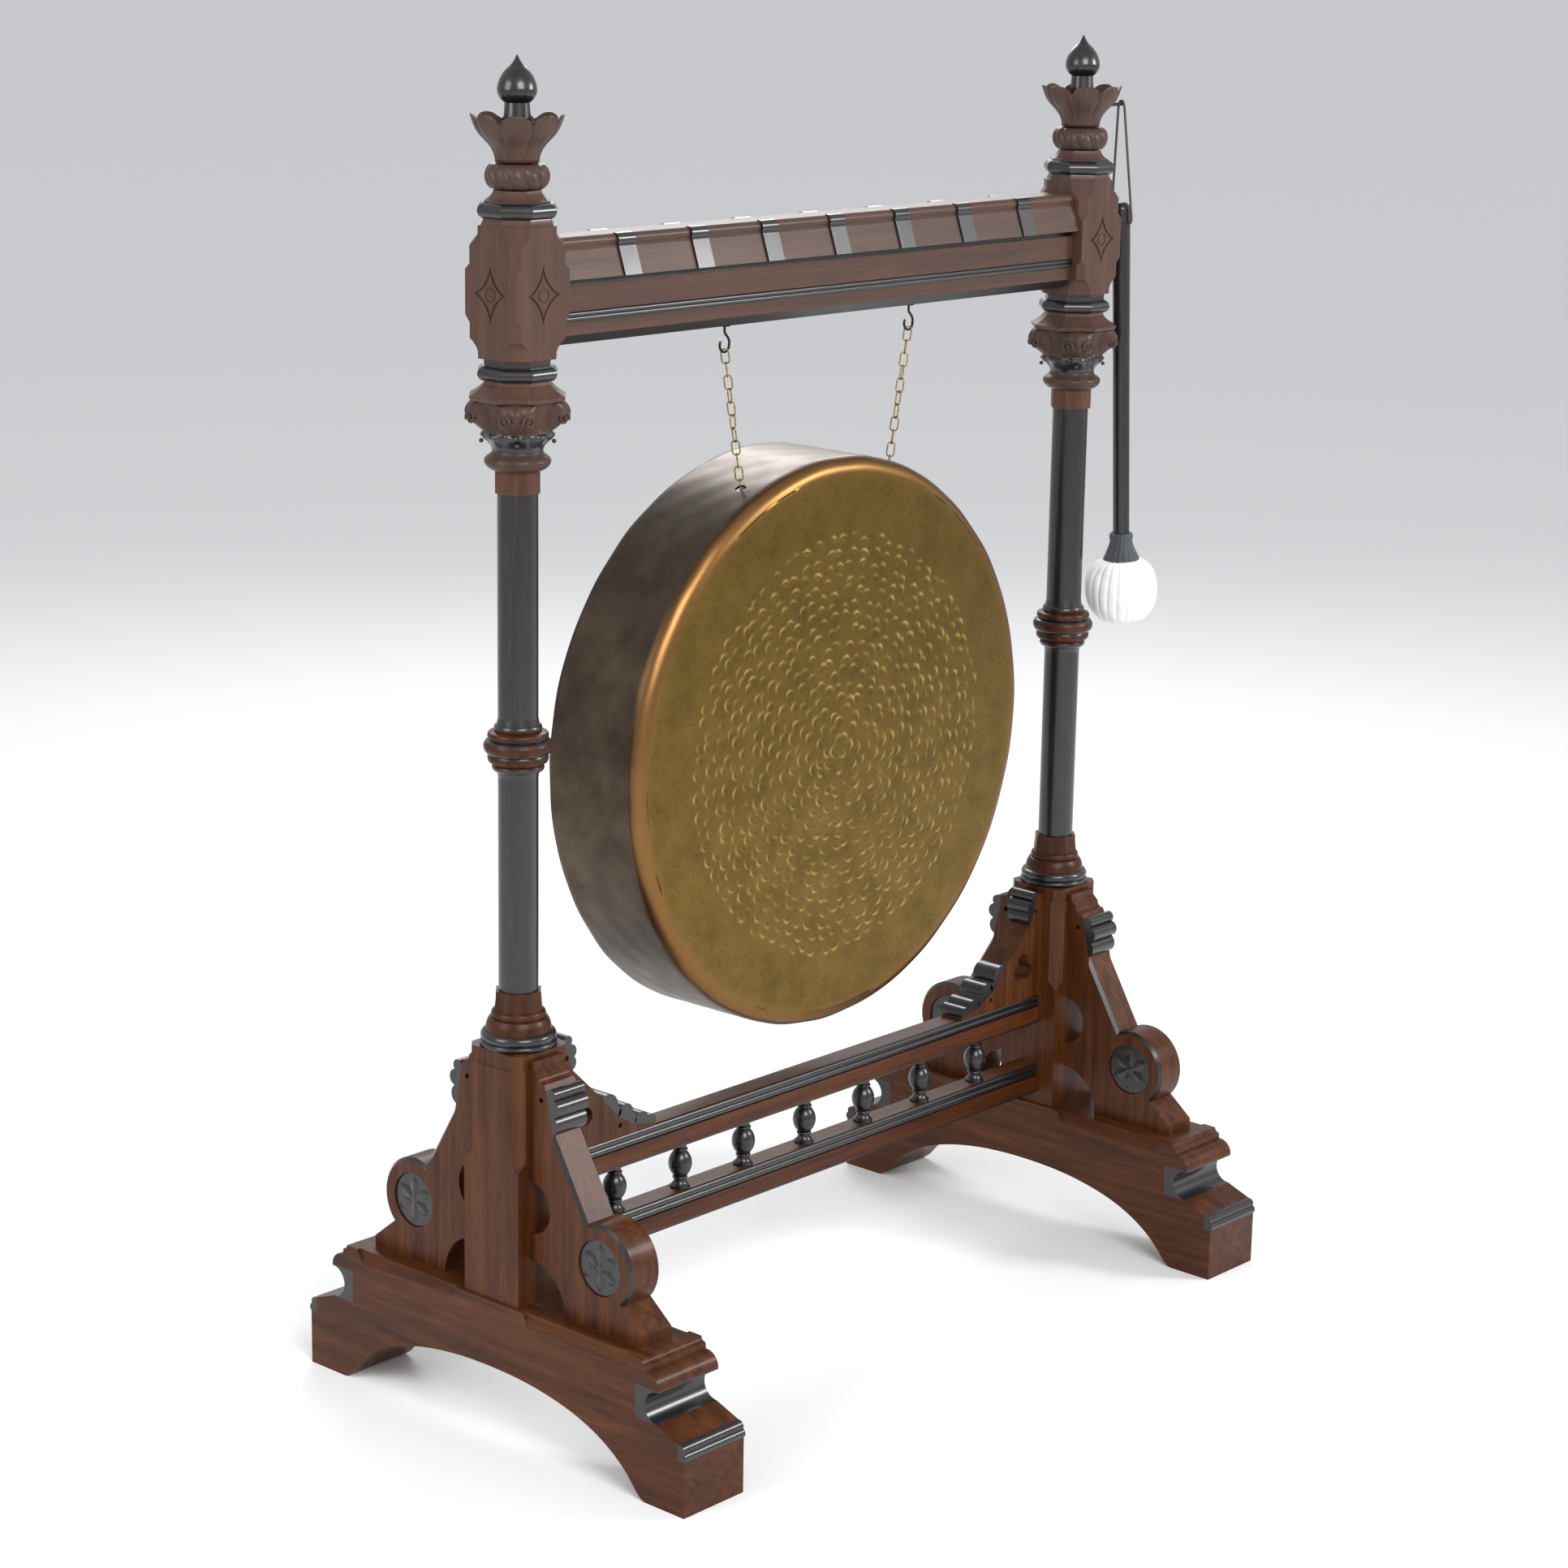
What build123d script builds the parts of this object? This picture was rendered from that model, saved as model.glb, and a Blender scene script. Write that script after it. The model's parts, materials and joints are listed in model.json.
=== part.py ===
from build123d import *

import os
from math import asin, cos, degrees, hypot, radians, sin, tan

os.makedirs("parts", exist_ok=True)

# A tam tam gong on a floor stand: two turned posts on bracketed feet, joined by a beam and two rails.
# X runs along the beam, Y from the gong's face to its open back, Z up. The floor is z = 0.

# ---- Driving dimensions, mm ----
POST_GAP = 1002.0  # between the post axes
TOTAL_HEIGHT = 1600.0  # floor to finial tips

FOOT_HALF_LENGTH = 318.0
FOOT_HALF_WIDTH = 49.0
FOOT_TOP = 172.0
BLOCK_HALF = 45.0  # base block
BLOCK_TOP = 477.0
UPPER_HALF = 41.0  # upper block
UPPER_BOTTOM = 1272.0
UPPER_TOP = 1417.5
ABACUS_HALF = 53.0
ROD_R = 6.0
ROD_BORE_R = 6.05

BRACKET_HALF = 24.0  # half thickness of the front and back brackets
INNER_HALF = 18.0  # half thickness of the brackets under the rail ends
LOBE_CENTRE = (157.0, 248.0)
ROUNDEL_R = 33.5
ROUNDEL_DEPTH = 3.0
BRACKET_CHAMFER = 4.0

RAIL_HALF = 17.0
RAIL_HEIGHT = 40.0
UPPER_RAIL_TOP = 328.0
LOWER_RAIL_TOP = 228.5
BALUSTER_GAP = 114.0
BALUSTER_COUNT = 7

BEAM_BOTTOM = 1282.0
BEAM_TOP = 1402.0
STRAP_GAP = 119.0
STRAP_WIDTH = 27.0
STRAP_COUNT = 7

GONG_Z = 756.0
GONG_FRONT_R = 356.4
GONG_BACK_R = 357.4
GONG_FACE_R = 337.4
GONG_FACE_Y = -46.0
GONG_DOME = 5.0
GONG_BACK_Y = 98.0
GONG_SHEET = 2.5
HOLE_ANGLE = 22.4  # of each chain hole from the top of the rim, degrees
HOLE_R = 6.6

HOOK_X = 166.5  # of each hook from the middle of the stand
HOOK_WIRE_R = 1.5
HOOK_BEND_R = 8.0
HOOK_SEAT_Z = 1249.5  # middle of the hook's wire at its lowest
LINK_COUNT = 11
LINK_WIRE_R = 0.9
LINK_WIDTH = 10.8
TOGGLE_R = 1.5
TOGGLE_LENGTH = 20.0
CHAIN_PLAY = 0.3  # between a chain's end links and the hook or pin that holds them

PEG_R = 2.2
PEG_Z = 1513.0
BEATER_Y = -28.5
BEATER_LEAN = 3.6  # degrees outward, so that the handle lies beside the abacus
HANDLE_R = 11.9
HANDLE_LENGTH = 440.0
HANDLE_TOP_Z = 1387.0
HANDLE_TOP_X = 55.8  # from the right post's axis
HEAD_R = 49.6
HEAD_HEIGHT = 98.0
THONG_R = 1.6


# ---- Helpers ----
def save(piece, name, at=(0, 0, 0)):
    """Set a finished piece at its place, label it and write its STEP file."""
    placed = piece.moved(Location(at))
    placed.label = name
    export_step(placed, f"parts/{name}.step")


def profile_edges(outline):
    """Lines through (distance, height) points; a third number on a point is the distance that the
    round stretch from the point before it reaches half way up."""
    for start, end in zip(outline, outline[1:]):
        if len(end) == 3:
            ThreePointArc(start[:2], (end[2], (start[1] + end[1]) / 2), end[:2])
        else:
            Line(start[:2], end)


def turned(outline, bore=ROD_BORE_R):
    """A piece turned about Z with a bore through it; bore 0 makes it solid."""
    bottom, top = outline[0][1], outline[-1][1]
    with BuildPart() as piece:
        with BuildSketch(Plane.XZ):
            with BuildLine():
                profile_edges([(bore, bottom)] + outline + [(bore, top)])
                Line((bore, top), (bore, bottom))
            make_face()
        revolve(axis=Axis.Z)
    return piece.part


def mitred(face_outline, corner_outline=None, bore=ROD_BORE_R):
    """A square piece whose four sides follow one outline, and whose corners follow another."""
    bottom, top = face_outline[0][1], face_outline[-1][1]
    layers = [(0, face_outline), (90, face_outline)]
    if corner_outline:
        layers += [(45, corner_outline), (135, corner_outline)]
    reach = 2.5 * max(point[0] for point in face_outline)
    with BuildPart() as piece:
        for number, (turn, outline) in enumerate(layers):
            with BuildSketch(Plane.XZ.rotated((0, 0, turn))):
                with BuildLine():
                    profile_edges([(0, bottom)] + outline + [(0, top)])
                    Line((0, top), (0, bottom))
                make_face()
                mirror(about=Plane.YZ)
            extrude(amount=reach, both=True, mode=Mode.INTERSECT if number else Mode.ADD)
        if bore:
            with Locations((0, 0, (bottom + top) / 2)):
                Cylinder(bore, top - bottom + 1, mode=Mode.SUBTRACT)
    return piece.part


def octagonal(outline):
    """An eight-sided mitred moulding; distances are from the axis to the flats."""
    return mitred(outline, outline)


def on_circle(radius, degrees):
    return (radius * cos(radians(degrees)), radius * sin(radians(degrees)))


# ---- Beater: built first, because its head is the furthest that anything stands out in X ----
# It is drawn upright about its own axis with the handle's top at the origin, then leaned outward.
COLLAR_TOP = -HANDLE_LENGTH
COLLAR_HEIGHT = 36.0
COLLAR_TOP_R = 15.5
COLLAR_BOTTOM_R = 25.0
HEAD_TOP = COLLAR_TOP - COLLAR_HEIGHT
HEAD_MIDDLE = HEAD_TOP + 12 - HEAD_HEIGHT / 2
HANDLE_HOLE_Z = -29.0
HANDLE_HOLE_R = 2.0
HANDLE_END = HEAD_MIDDLE
beater_place = Location((HANDLE_TOP_X, BEATER_Y, HANDLE_TOP_Z), (0, -BEATER_LEAN, 0))

with BuildPart() as beater_handle:
    with BuildSketch(Plane.XZ):
        with BuildLine():
            Line((0, 0), (4, 0))
            ThreePointArc((4, 0), (9.8, -3.4), (HANDLE_R, -11))
            Line((HANDLE_R, -11), (11.0, -220))
            Line((11.0, -220), (11.0, HANDLE_END))
            Line((11.0, HANDLE_END), (0, HANDLE_END))
            Line((0, HANDLE_END), (0, 0))
        make_face()
    revolve(axis=Axis.Z)
    with Locations(Location((0, 0, HANDLE_HOLE_Z), (90, 0, 0))):
        Cylinder(HANDLE_HOLE_R, 2.5 * HANDLE_R, mode=Mode.SUBTRACT)

with BuildPart() as beater_collar:
    with BuildSketch(Plane.XZ):
        with BuildLine():
            Line((11.0, COLLAR_TOP), (COLLAR_TOP_R, COLLAR_TOP - 2))
            ThreePointArc((COLLAR_TOP_R, COLLAR_TOP - 2), (16.5, COLLAR_TOP - 19), (COLLAR_BOTTOM_R, HEAD_TOP + 3))
            Line((COLLAR_BOTTOM_R, HEAD_TOP + 3), (COLLAR_BOTTOM_R - 2, HEAD_TOP))
            Line((COLLAR_BOTTOM_R - 2, HEAD_TOP), (11.0, HEAD_TOP))
            Line((11.0, HEAD_TOP), (11.0, COLLAR_TOP))
        make_face()
    revolve(axis=Axis.Z)

HEAD_LOW = HEAD_TOP - HEAD_HEIGHT + 12
with BuildPart() as beater_head:
    with BuildSketch(Plane.XZ):
        with BuildLine():
            Line((11.0, HEAD_TOP), (24, HEAD_TOP))
            ThreePointArc((24, HEAD_TOP), (44.5, HEAD_TOP - 16), (HEAD_R, HEAD_TOP - 40))
            ThreePointArc((HEAD_R, HEAD_TOP - 40), (42.5, HEAD_LOW + 16), (22, HEAD_LOW))
            Line((22, HEAD_LOW), (0, HEAD_LOW))
            Line((0, HEAD_LOW), (0, HANDLE_END))
            Line((0, HANDLE_END), (11.0, HANDLE_END))
            Line((11.0, HANDLE_END), (11.0, HEAD_TOP))
        make_face()
    revolve(axis=Axis.Z)

leaned_head = beater_head.part.moved(beater_place)
HEAD_REACH = leaned_head.bounding_box().max.X

# The origin is the middle of the whole object's box on the floor, so the stand's middle is left of it.
STAND_X = (ABACUS_HALF - HEAD_REACH) / 2
LEFT_X = STAND_X - POST_GAP / 2
RIGHT_X = STAND_X + POST_GAP / 2

save(beater_handle.part.moved(beater_place), "beater_handle", (RIGHT_X, 0, 0))
save(beater_collar.part.moved(beater_place), "beater_collar", (RIGHT_X, 0, 0))
save(leaned_head, "beater_head", (RIGHT_X, 0, 0))

# ---- Foot: a bracketed sledge along Y with an arched underside and moulded ends ----
ARCH_POINTS = [(256, 0), (236, 17), (185, 56), (112, 80), (0, 90)]
CHAMFER_FROM, CHAMFER_TO, CHAMFER_STOP = 57.0, 231.0, 9.0
CHAMFER_IN, CHAMFER_DOWN = 5.0, 16.0

with BuildPart() as chamfer_cutter:
    with BuildSketch(Plane.XZ):
        Polygon(
            (FOOT_HALF_WIDTH - CHAMFER_IN, FOOT_TOP),
            (FOOT_HALF_WIDTH, FOOT_TOP - CHAMFER_DOWN),
            (FOOT_HALF_WIDTH + 5, FOOT_TOP - CHAMFER_DOWN),
            (FOOT_HALF_WIDTH + 5, FOOT_TOP + 5),
            (FOOT_HALF_WIDTH - CHAMFER_IN, FOOT_TOP + 5),
            align=None,
        )
    extrude(amount=-CHAMFER_TO)
    with BuildSketch(Plane.YZ):
        Polygon(
            (CHAMFER_FROM, FOOT_TOP + 5),
            (CHAMFER_FROM, FOOT_TOP),
            (CHAMFER_FROM + CHAMFER_STOP, FOOT_TOP - CHAMFER_DOWN),
            (CHAMFER_TO - CHAMFER_STOP, FOOT_TOP - CHAMFER_DOWN),
            (CHAMFER_TO, FOOT_TOP),
            (CHAMFER_TO, FOOT_TOP + 5),
            align=None,
        )
    extrude(amount=2 * FOOT_HALF_WIDTH, mode=Mode.INTERSECT)
    mirror(about=Plane.XZ)
    mirror(about=Plane.YZ)

with BuildPart() as foot:
    with BuildSketch(Plane.YZ):
        with BuildLine():
            Line((256, 0), (FOOT_HALF_LENGTH, 0))
            Line((FOOT_HALF_LENGTH, 0), (FOOT_HALF_LENGTH, 68))
            ThreePointArc((FOOT_HALF_LENGTH, 68), (320.5, 73), (317, 78))
            ThreePointArc((317, 78), (316.5, 84), (310, 87))
            Line((310, 87), (275, 100))
            ThreePointArc((275, 100), (255.5, 119), (277, 139))
            Line((277, 139), (277, 142))
            ThreePointArc((277, 142), (271.5, 153.5), (257.5, 158.5))
            Line((257.5, 158.5), (256.5, 166))
            ThreePointArc((256.5, 166), (252, 167.5), (250, FOOT_TOP))
            Line((250, FOOT_TOP), (0, FOOT_TOP))
            Line((0, FOOT_TOP), (0, 90))
            Spline(*reversed(ARCH_POINTS), tangents=((1, 0), (1, -0.35)))
        make_face()
        mirror(about=Plane.YZ)
    extrude(amount=FOOT_HALF_WIDTH, both=True)
    add(chamfer_cutter.part, mode=Mode.SUBTRACT)
    with Locations((0, 0, FOOT_TOP)):
        Cylinder(ROD_BORE_R, 120, mode=Mode.SUBTRACT)

# ---- Base block: corner chamfers that start above a stop ----
base_block = mitred(
    [(BLOCK_HALF, FOOT_TOP), (BLOCK_HALF, 458), (BLOCK_HALF - 2, 460), (BLOCK_HALF - 2, BLOCK_TOP)],
    [(64, FOOT_TOP), (64, 337), (54, 349), (54, BLOCK_TOP)],
)


# ---- Brackets in front of and behind each post: a lobe with a roundel on a slope, two piercings ----
def front_bracket_outline():
    """Outline in (distance from the post's axis, height) of the bracket that stands on the foot."""
    lobe_x, lobe_z = LOBE_CENTRE
    Line((BLOCK_HALF, FOOT_TOP), (226, FOOT_TOP))
    Line((226, FOOT_TOP), (226, 185))
    Line((226, 185), (193.5, 211))
    ThreePointArc((193.5, 211), (lobe_x + 42, lobe_z + 31), (136, 296))
    Line((136, 296), (81, 389))
    Line((81, 389), (71, 439))
    Line((71, 439), (67, 446.7))
    ThreePointArc((67, 446.7), (60.5, 448.5), (58, 454.6))
    Line((58, 454.6), (50, 462))
    Line((50, 462), (50, 470))
    Line((50, 470), (BLOCK_HALF, 470))
    Line((BLOCK_HALF, 470), (BLOCK_HALF, FOOT_TOP))


def on_slope_or_lobe(point):
    """Whether a point is in the middle of the long slope or of the lobe's round edge."""
    slope_middle = hypot(point.Y - 108.5, point.Z - 342.5) < 3
    beyond_lobe = point.Y > 150 and point.Z > 225 and hypot(point.Y - 157, point.Z - 248) > 36
    return slope_middle or beyond_lobe


with BuildPart() as front_bracket:
    with BuildSketch(Plane.YZ):
        with BuildLine():
            front_bracket_outline()
        make_face()
        with Locations((BLOCK_HALF, 293)):
            Circle(32, mode=Mode.SUBTRACT)
        with Locations((BLOCK_HALF, FOOT_TOP)):
            Circle(57, mode=Mode.SUBTRACT)
        with Locations((62, 427)):
            Circle(3.4, mode=Mode.SUBTRACT)
    extrude(amount=BRACKET_HALF, both=True)
    chamfer(
        [
            edge
            for edge in front_bracket.edges()
            if abs(edge.center().X) > BRACKET_HALF - 0.1 and on_slope_or_lobe(edge.center())
        ],
        BRACKET_CHAMFER,
    )
    for side in (1, -1):
        with BuildSketch(Plane.YZ.offset(side * BRACKET_HALF)):
            with Locations(LOBE_CENTRE):
                Circle(ROUNDEL_R)
        extrude(amount=-side * ROUNDEL_DEPTH, mode=Mode.SUBTRACT)
    mirror(about=Plane.XZ, mode=Mode.REPLACE)

# ---- Bracket on the upper rail beside each post; drawn for the left post, reaching along +X ----
TREFOIL_CENTRE = (84.0, 372.0)
with BuildPart() as inner_bracket:
    with BuildSketch(Plane.XZ):
        with BuildLine():
            Polyline(
                (BLOCK_HALF, UPPER_RAIL_TOP),
                (211, UPPER_RAIL_TOP),
                (211, 331),
                (175, 338),
                (147, 354),
                (120, 383),
                (70, 431),
                (56, 470),
                (BLOCK_HALF, 470),
                close=True,
            )
        make_face()
        with Locations(TREFOIL_CENTRE):
            with PolarLocations(9.5, 3, start_angle=90):
                Circle(11, mode=Mode.SUBTRACT)
        with Locations((150, 342), (60, 447)):
            Circle(3.4, mode=Mode.SUBTRACT)
    extrude(amount=INNER_HALF, both=True)


# ---- Crockets: small fans of three rolls standing on the sloping edges of the brackets ----
def crocket(plane, half_width, cusps, crests):
    """One fan across the bracket's edge; crests holds the furthest point of each roll."""
    with BuildPart() as fan:
        with BuildSketch(plane):
            with BuildLine():
                for start, crest, end in zip(cusps, crests, cusps[1:]):
                    ThreePointArc(start, crest, end)
                Line(cusps[-1], cusps[0])
            make_face()
        extrude(amount=half_width, both=True)
    return fan.part


outer_fan = crocket(
    Plane.YZ,
    BRACKET_HALF,
    [(71, 439), (83, 431), (83.5, 411), (81, 389)],
    [(81, 443), (91.5, 422), (89, 401)],
)
upper_fan = crocket(
    Plane.XZ,
    INNER_HALF,
    [(56, 470), (67.5, 463), (73, 447), (70, 431)],
    [(65.5, 474), (76, 457), (76, 438)],
)
lower_fan = crocket(
    Plane.XZ,
    INNER_HALF,
    [(120, 383), (146, 367), (147, 354)],
    [(138, 384), (152, 361)],
)
middle_fan = crocket(
    Plane.XZ,
    INNER_HALF,
    [(147, 354), (172, 354), (175, 338)],
    [(163, 367), (178, 347)],
)
low_fan = crocket(
    Plane.XZ,
    INNER_HALF,
    [(175, 338), (198, 343), (211, 331)],
    [(188, 351), (208, 342)],
)
crockets = [outer_fan, outer_fan.mirror(Plane.XZ), upper_fan, lower_fan, middle_fan, low_fan]

# ---- Roundels: six-petalled flowers let into both sides of the front and back brackets ----
PETAL_R = 8.6
with BuildPart() as roundels:
    for side in (1, -1):
        for end in (1, -1):
            floor = Plane.YZ.offset(side * (BRACKET_HALF - ROUNDEL_DEPTH))
            with BuildSketch(floor):
                with Locations((end * LOBE_CENTRE[0], LOBE_CENTRE[1])):
                    Circle(ROUNDEL_R - 0.2)
            extrude(amount=side * 1.0)
            with BuildSketch(floor):
                with Locations((end * LOBE_CENTRE[0], LOBE_CENTRE[1])):
                    with PolarLocations(19, 6):
                        Circle(PETAL_R)
                    Circle(8)
            extrude(amount=side * 2.6)

# ---- Turned post, from the block upward ----
base_torus = turned(
    [
        (43, BLOCK_TOP),
        (42.5, 483.7, 45),
        (42, 493.5, 44.2),
        (38.4, 495.5),
        (34, 509.5, 37.4),
        (31, 510.5),
        (28, 519.5, 31.8),
        (28, 520.5),
    ]
)
lower_collar = mitred(
    [(27.4, 520.5), (25.9, 536.2), (25.9, 542.3)],
    [(27.4, 520.5), (25.9, 536.2), (25.9, 542.3)],
)
with BuildPart() as lower_shaft:
    add(lower_collar)
    add(turned([(23.1, 542.3), (23.1, 795), (24.5, 802.3)]))
shaft_ring = turned(
    [
        (27, 802.3),
        (28.5, 810, 30),
        (33.5, 813),
        (33.5, 822.5, 35),
        (36.8, 824),
        (36.8, 838, 39.6),
        (33.5, 839.5),
        (33.5, 847.5, 35),
        (27, 849),
        (25.5, 856.9, 27.5),
    ]
)
upper_collar = mitred(
    [(25, 1121.3), (25, 1146)],
    [(25, 1121.3), (25, 1146)],
)
with BuildPart() as upper_shaft:
    add(turned([(24.5, 856.9), (23.1, 864), (23.1, 1121.3)]))
    add(upper_collar)

# ---- Capital: turned bell with a curled leaf at each corner, under an eight-sided abacus ----
CAPITAL_TOP = 1226.0
LEAF_REACH = 58.0  # of each corner leaf from the post's axis
LEAF_ROUND = 21.0  # radius of a leaf seen from above
capital_bell = turned(
    [
        (26.5, 1146),
        (34.5, 1151.5),
        (34.5, 1162.5, 37.6),
        (28.6, 1168.5),
        (39.5, 1184, 30.5),
        (39.5, 1189, 41),
        (37.5, 1191),
        (46, CAPITAL_TOP, 38.5),
    ]
)
with BuildPart() as corner_leaf:
    with BuildSketch(Plane.XZ):
        with BuildLine():
            Polyline((50, CAPITAL_TOP), (30, CAPITAL_TOP), (30, 1190.5), (39, 1190.5), (54.5, 1203.5))
            ThreePointArc((54.5, 1203.5), (LEAF_REACH, 1213), (50, CAPITAL_TOP))
        make_face()
    extrude(amount=LEAF_ROUND, both=True)
    with Locations((LEAF_REACH - LEAF_ROUND, 0, 1208)):
        Cylinder(LEAF_ROUND, 40, mode=Mode.INTERSECT)
with BuildPart() as capital:
    add(capital_bell)
    for corner in (45, 135, 225, 315):
        add(corner_leaf.part.rotate(Axis.Z, corner))
abacus = octagonal(
    [(ABACUS_HALF - 2, CAPITAL_TOP), (ABACUS_HALF, 1229), (ABACUS_HALF, 1231), (36.8, 1244, 43)]
)
neck_ring = octagonal(
    [(36.8, 1244), (36.2, 1247.8), (36.2, 1263.3, 44), (36.7, 1269.3), (36.7, UPPER_BOTTOM)]
)
upper_block = mitred(
    [(UPPER_HALF, UPPER_BOTTOM), (UPPER_HALF, UPPER_TOP)],
    [
        (43, UPPER_BOTTOM),
        (43, 1279),
        (52.4, 1293.3, 46),
        (52.4, 1310.6),
        (57.4, 1318.7),
        (57.4, 1368.5),
        (52.4, 1374.8),
        (52.4, 1394.6),
        (43, 1407),
        (43, UPPER_TOP),
    ],
)
top_ring = octagonal(
    [
        (40, UPPER_TOP),
        (36.9, 1425.2, 38),
        (36.8, 1442.2, 43.5),
        (35.6, 1444),
        (26, 1455.2, 28.5),
    ]
)

# ---- Rope ring: a torus whose strands are cut in by the visual model; here it is a plain ring ----
rope_ring = turned([(25.1, 1455.2), (24.5, 1458), (24.2, 1482, 36), (24.2, 1485.2)])

# ---- Leaf cup: a bowl of eight rolled leaves ----
CUP_RIM_R = 51.0
with BuildPart() as leaf_cup:
    with BuildSketch(Plane.XZ):
        with BuildLine():
            Line((ROD_BORE_R, 1485.2), (24.2, 1485.2))
            ThreePointArc((24.2, 1485.2), (28.6, 1499), (41, 1514))
            ThreePointArc((41, 1514), (48.6, 1525), (CUP_RIM_R, 1537.5))
            Line((CUP_RIM_R, 1537.5), (46.5, 1537.5))
            ThreePointArc((46.5, 1537.5), (36, 1517), (19, 1500))
            Line((19, 1500), (ROD_BORE_R, 1500))
            Line((ROD_BORE_R, 1500), (ROD_BORE_R, 1485.2))
        make_face()
    revolve(axis=Axis.Z)
    with Locations((0, 0, 1530)):
        with PolarLocations(53, 8, start_angle=22.5):
            Cylinder(5.5, 30, mode=Mode.SUBTRACT)

finial = turned(
    [
        (13, 1500),
        (14.9, 1532.8),
        (13.8, 1549),
        (22, 1564.2, 20.6),
        (9, 1587.5, 18.5),
        (0.8, TOTAL_HEIGHT, 3.8),
    ],
    bore=0,
)

# ---- Lozenges: a grooved four-pointed star with a ring, on the three free faces of the block ----
LOZENGE_Z = 1343.0
LOZENGE_HEIGHT = 33.0
LOZENGE_WIDTH = 25.5
LOZENGE_WAIST = 10.5
GROOVE_WIDTH = 3.2
GROOVE_DEPTH = 1.8


def star(face, narrower):
    """A star with four hollow sides, drawn on a face; narrower sets it in from the groove's outside."""
    with BuildSketch(face) as outline:
        with BuildLine():
            corners = [
                (0, LOZENGE_HEIGHT - 2.6 * narrower),
                (LOZENGE_WIDTH - 2.2 * narrower, 0),
                (0, 2.6 * narrower - LOZENGE_HEIGHT),
                (2.2 * narrower - LOZENGE_WIDTH, 0),
            ]
            waist = LOZENGE_WAIST - 0.7 * narrower
            for start, end in zip(corners, corners[1:] + corners[:1]):
                waist_x = waist if start[0] + end[0] > 0 else -waist
                waist_y = waist if start[1] + end[1] > 0 else -waist
                ThreePointArc(start, (waist_x, waist_y), end)
        make_face()
    return outline.sketch


FRONT_FACE = Plane((0, -UPPER_HALF, LOZENGE_Z), x_dir=(1, 0, 0), z_dir=(0, -1, 0))
star_pocket = extrude(star(FRONT_FACE, 0), amount=-GROOVE_DEPTH)
with BuildPart() as star_plate:
    add(extrude(star(FRONT_FACE, GROOVE_WIDTH), amount=-GROOVE_DEPTH))
    with BuildSketch(FRONT_FACE):
        Circle(8.2)
        Circle(6.4, mode=Mode.SUBTRACT)
    extrude(amount=-0.9, mode=Mode.SUBTRACT)

FREE_FACES = (0, 180, 270)  # turns about the post's axis to the faces without the beam's end
for turn in FREE_FACES:
    upper_block = upper_block - star_pocket.rotate(Axis.Z, turn)
lozenges = [star_plate.part.rotate(Axis.Z, turn) for turn in FREE_FACES]


# ---- Hidden rod that threads the turned pieces on the foot ----
with BuildPart() as tie_rod:
    with Locations((0, 0, FOOT_TOP - 60)):
        Cylinder(ROD_R, 1499 - FOOT_TOP + 60, align=(Align.CENTER, Align.CENTER, Align.MIN))

post_pieces = {
    "foot": foot.part,
    "base_block": base_block,
    "front_bracket": front_bracket.part,
    "back_bracket": front_bracket.part.mirror(Plane.XZ),
    "roundels": roundels.part,
    "base_torus": base_torus,
    "lower_shaft": lower_shaft.part,
    "shaft_ring": shaft_ring,
    "upper_shaft": upper_shaft.part,
    "capital": capital.part,
    "abacus": abacus,
    "neck_ring": neck_ring,
    "top_ring": top_ring,
    "rope_ring": rope_ring,
    "leaf_cup": leaf_cup.part,
    "finial": finial,
    "tie_rod": tie_rod.part,
}
handed_pieces = {
    "upper_block": [upper_block],
    "inner_bracket": [inner_bracket.part],
    "crockets": crockets,
    "lozenges": lozenges,
}
for name, piece in post_pieces.items():
    save(piece, f"left_{name}", (LEFT_X, 0, 0))
    save(piece, f"right_{name}", (RIGHT_X, 0, 0))
for name, solids in handed_pieces.items():
    mirrored = [solid.mirror(Plane.YZ) for solid in solids]
    save(Compound(children=solids), f"left_{name}", (LEFT_X, 0, 0))
    save(Compound(children=mirrored), f"right_{name}", (RIGHT_X, 0, 0))

# ---- Beam: a moulded board between the upper blocks ----
BEAM_LENGTH = POST_GAP - 2 * UPPER_HALF
with BuildPart() as beam:
    with BuildSketch(Plane.YZ.offset(STAND_X)):
        with BuildLine():
            Polyline((0, BEAM_BOTTOM), (13, BEAM_BOTTOM), (22, 1293), (22, 1307), (22.5, 1309))
            ThreePointArc((22.5, 1309), (26.5, 1311.5), (22.5, 1314))
            ThreePointArc((22.5, 1314), (26.5, 1316.5), (22.5, 1319))
            Polyline(
                (22.5, 1319),
                (25, 1319.5),
                (25, 1349),
                (21, 1349.5),
                (21, 1355),
                (36, 1356),
                (25, 1387),
                (23, 1390.5),
            )
            ThreePointArc((23, 1390.5), (24, 1397), (17, BEAM_TOP))
            Polyline((17, BEAM_TOP), (0, BEAM_TOP), (0, BEAM_BOTTOM))
        make_face()
        mirror(about=Plane.YZ)
    extrude(amount=BEAM_LENGTH / 2, both=True)

# ---- Straps: bands over the frieze and roll, in pairs front and back ----
with BuildPart() as beam_straps:
    for number in range(STRAP_COUNT):
        strap_x = STAND_X + (number - (STRAP_COUNT - 1) / 2) * STRAP_GAP
        with BuildSketch(Plane.YZ.offset(strap_x)):
            with BuildLine():
                Polyline((36, 1356), (38.6, 1356.3), (27.6, 1388), (26.2, 1390.5))
                ThreePointArc((26.2, 1390.5), (26.6, 1398.5), (17, BEAM_TOP))
                ThreePointArc((17, BEAM_TOP), (24, 1397), (23, 1390.5))
                Polyline((23, 1390.5), (25, 1387), (36, 1356))
            make_face()
            mirror(about=Plane.YZ)
        extrude(amount=STRAP_WIDTH / 2, both=True)


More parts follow.
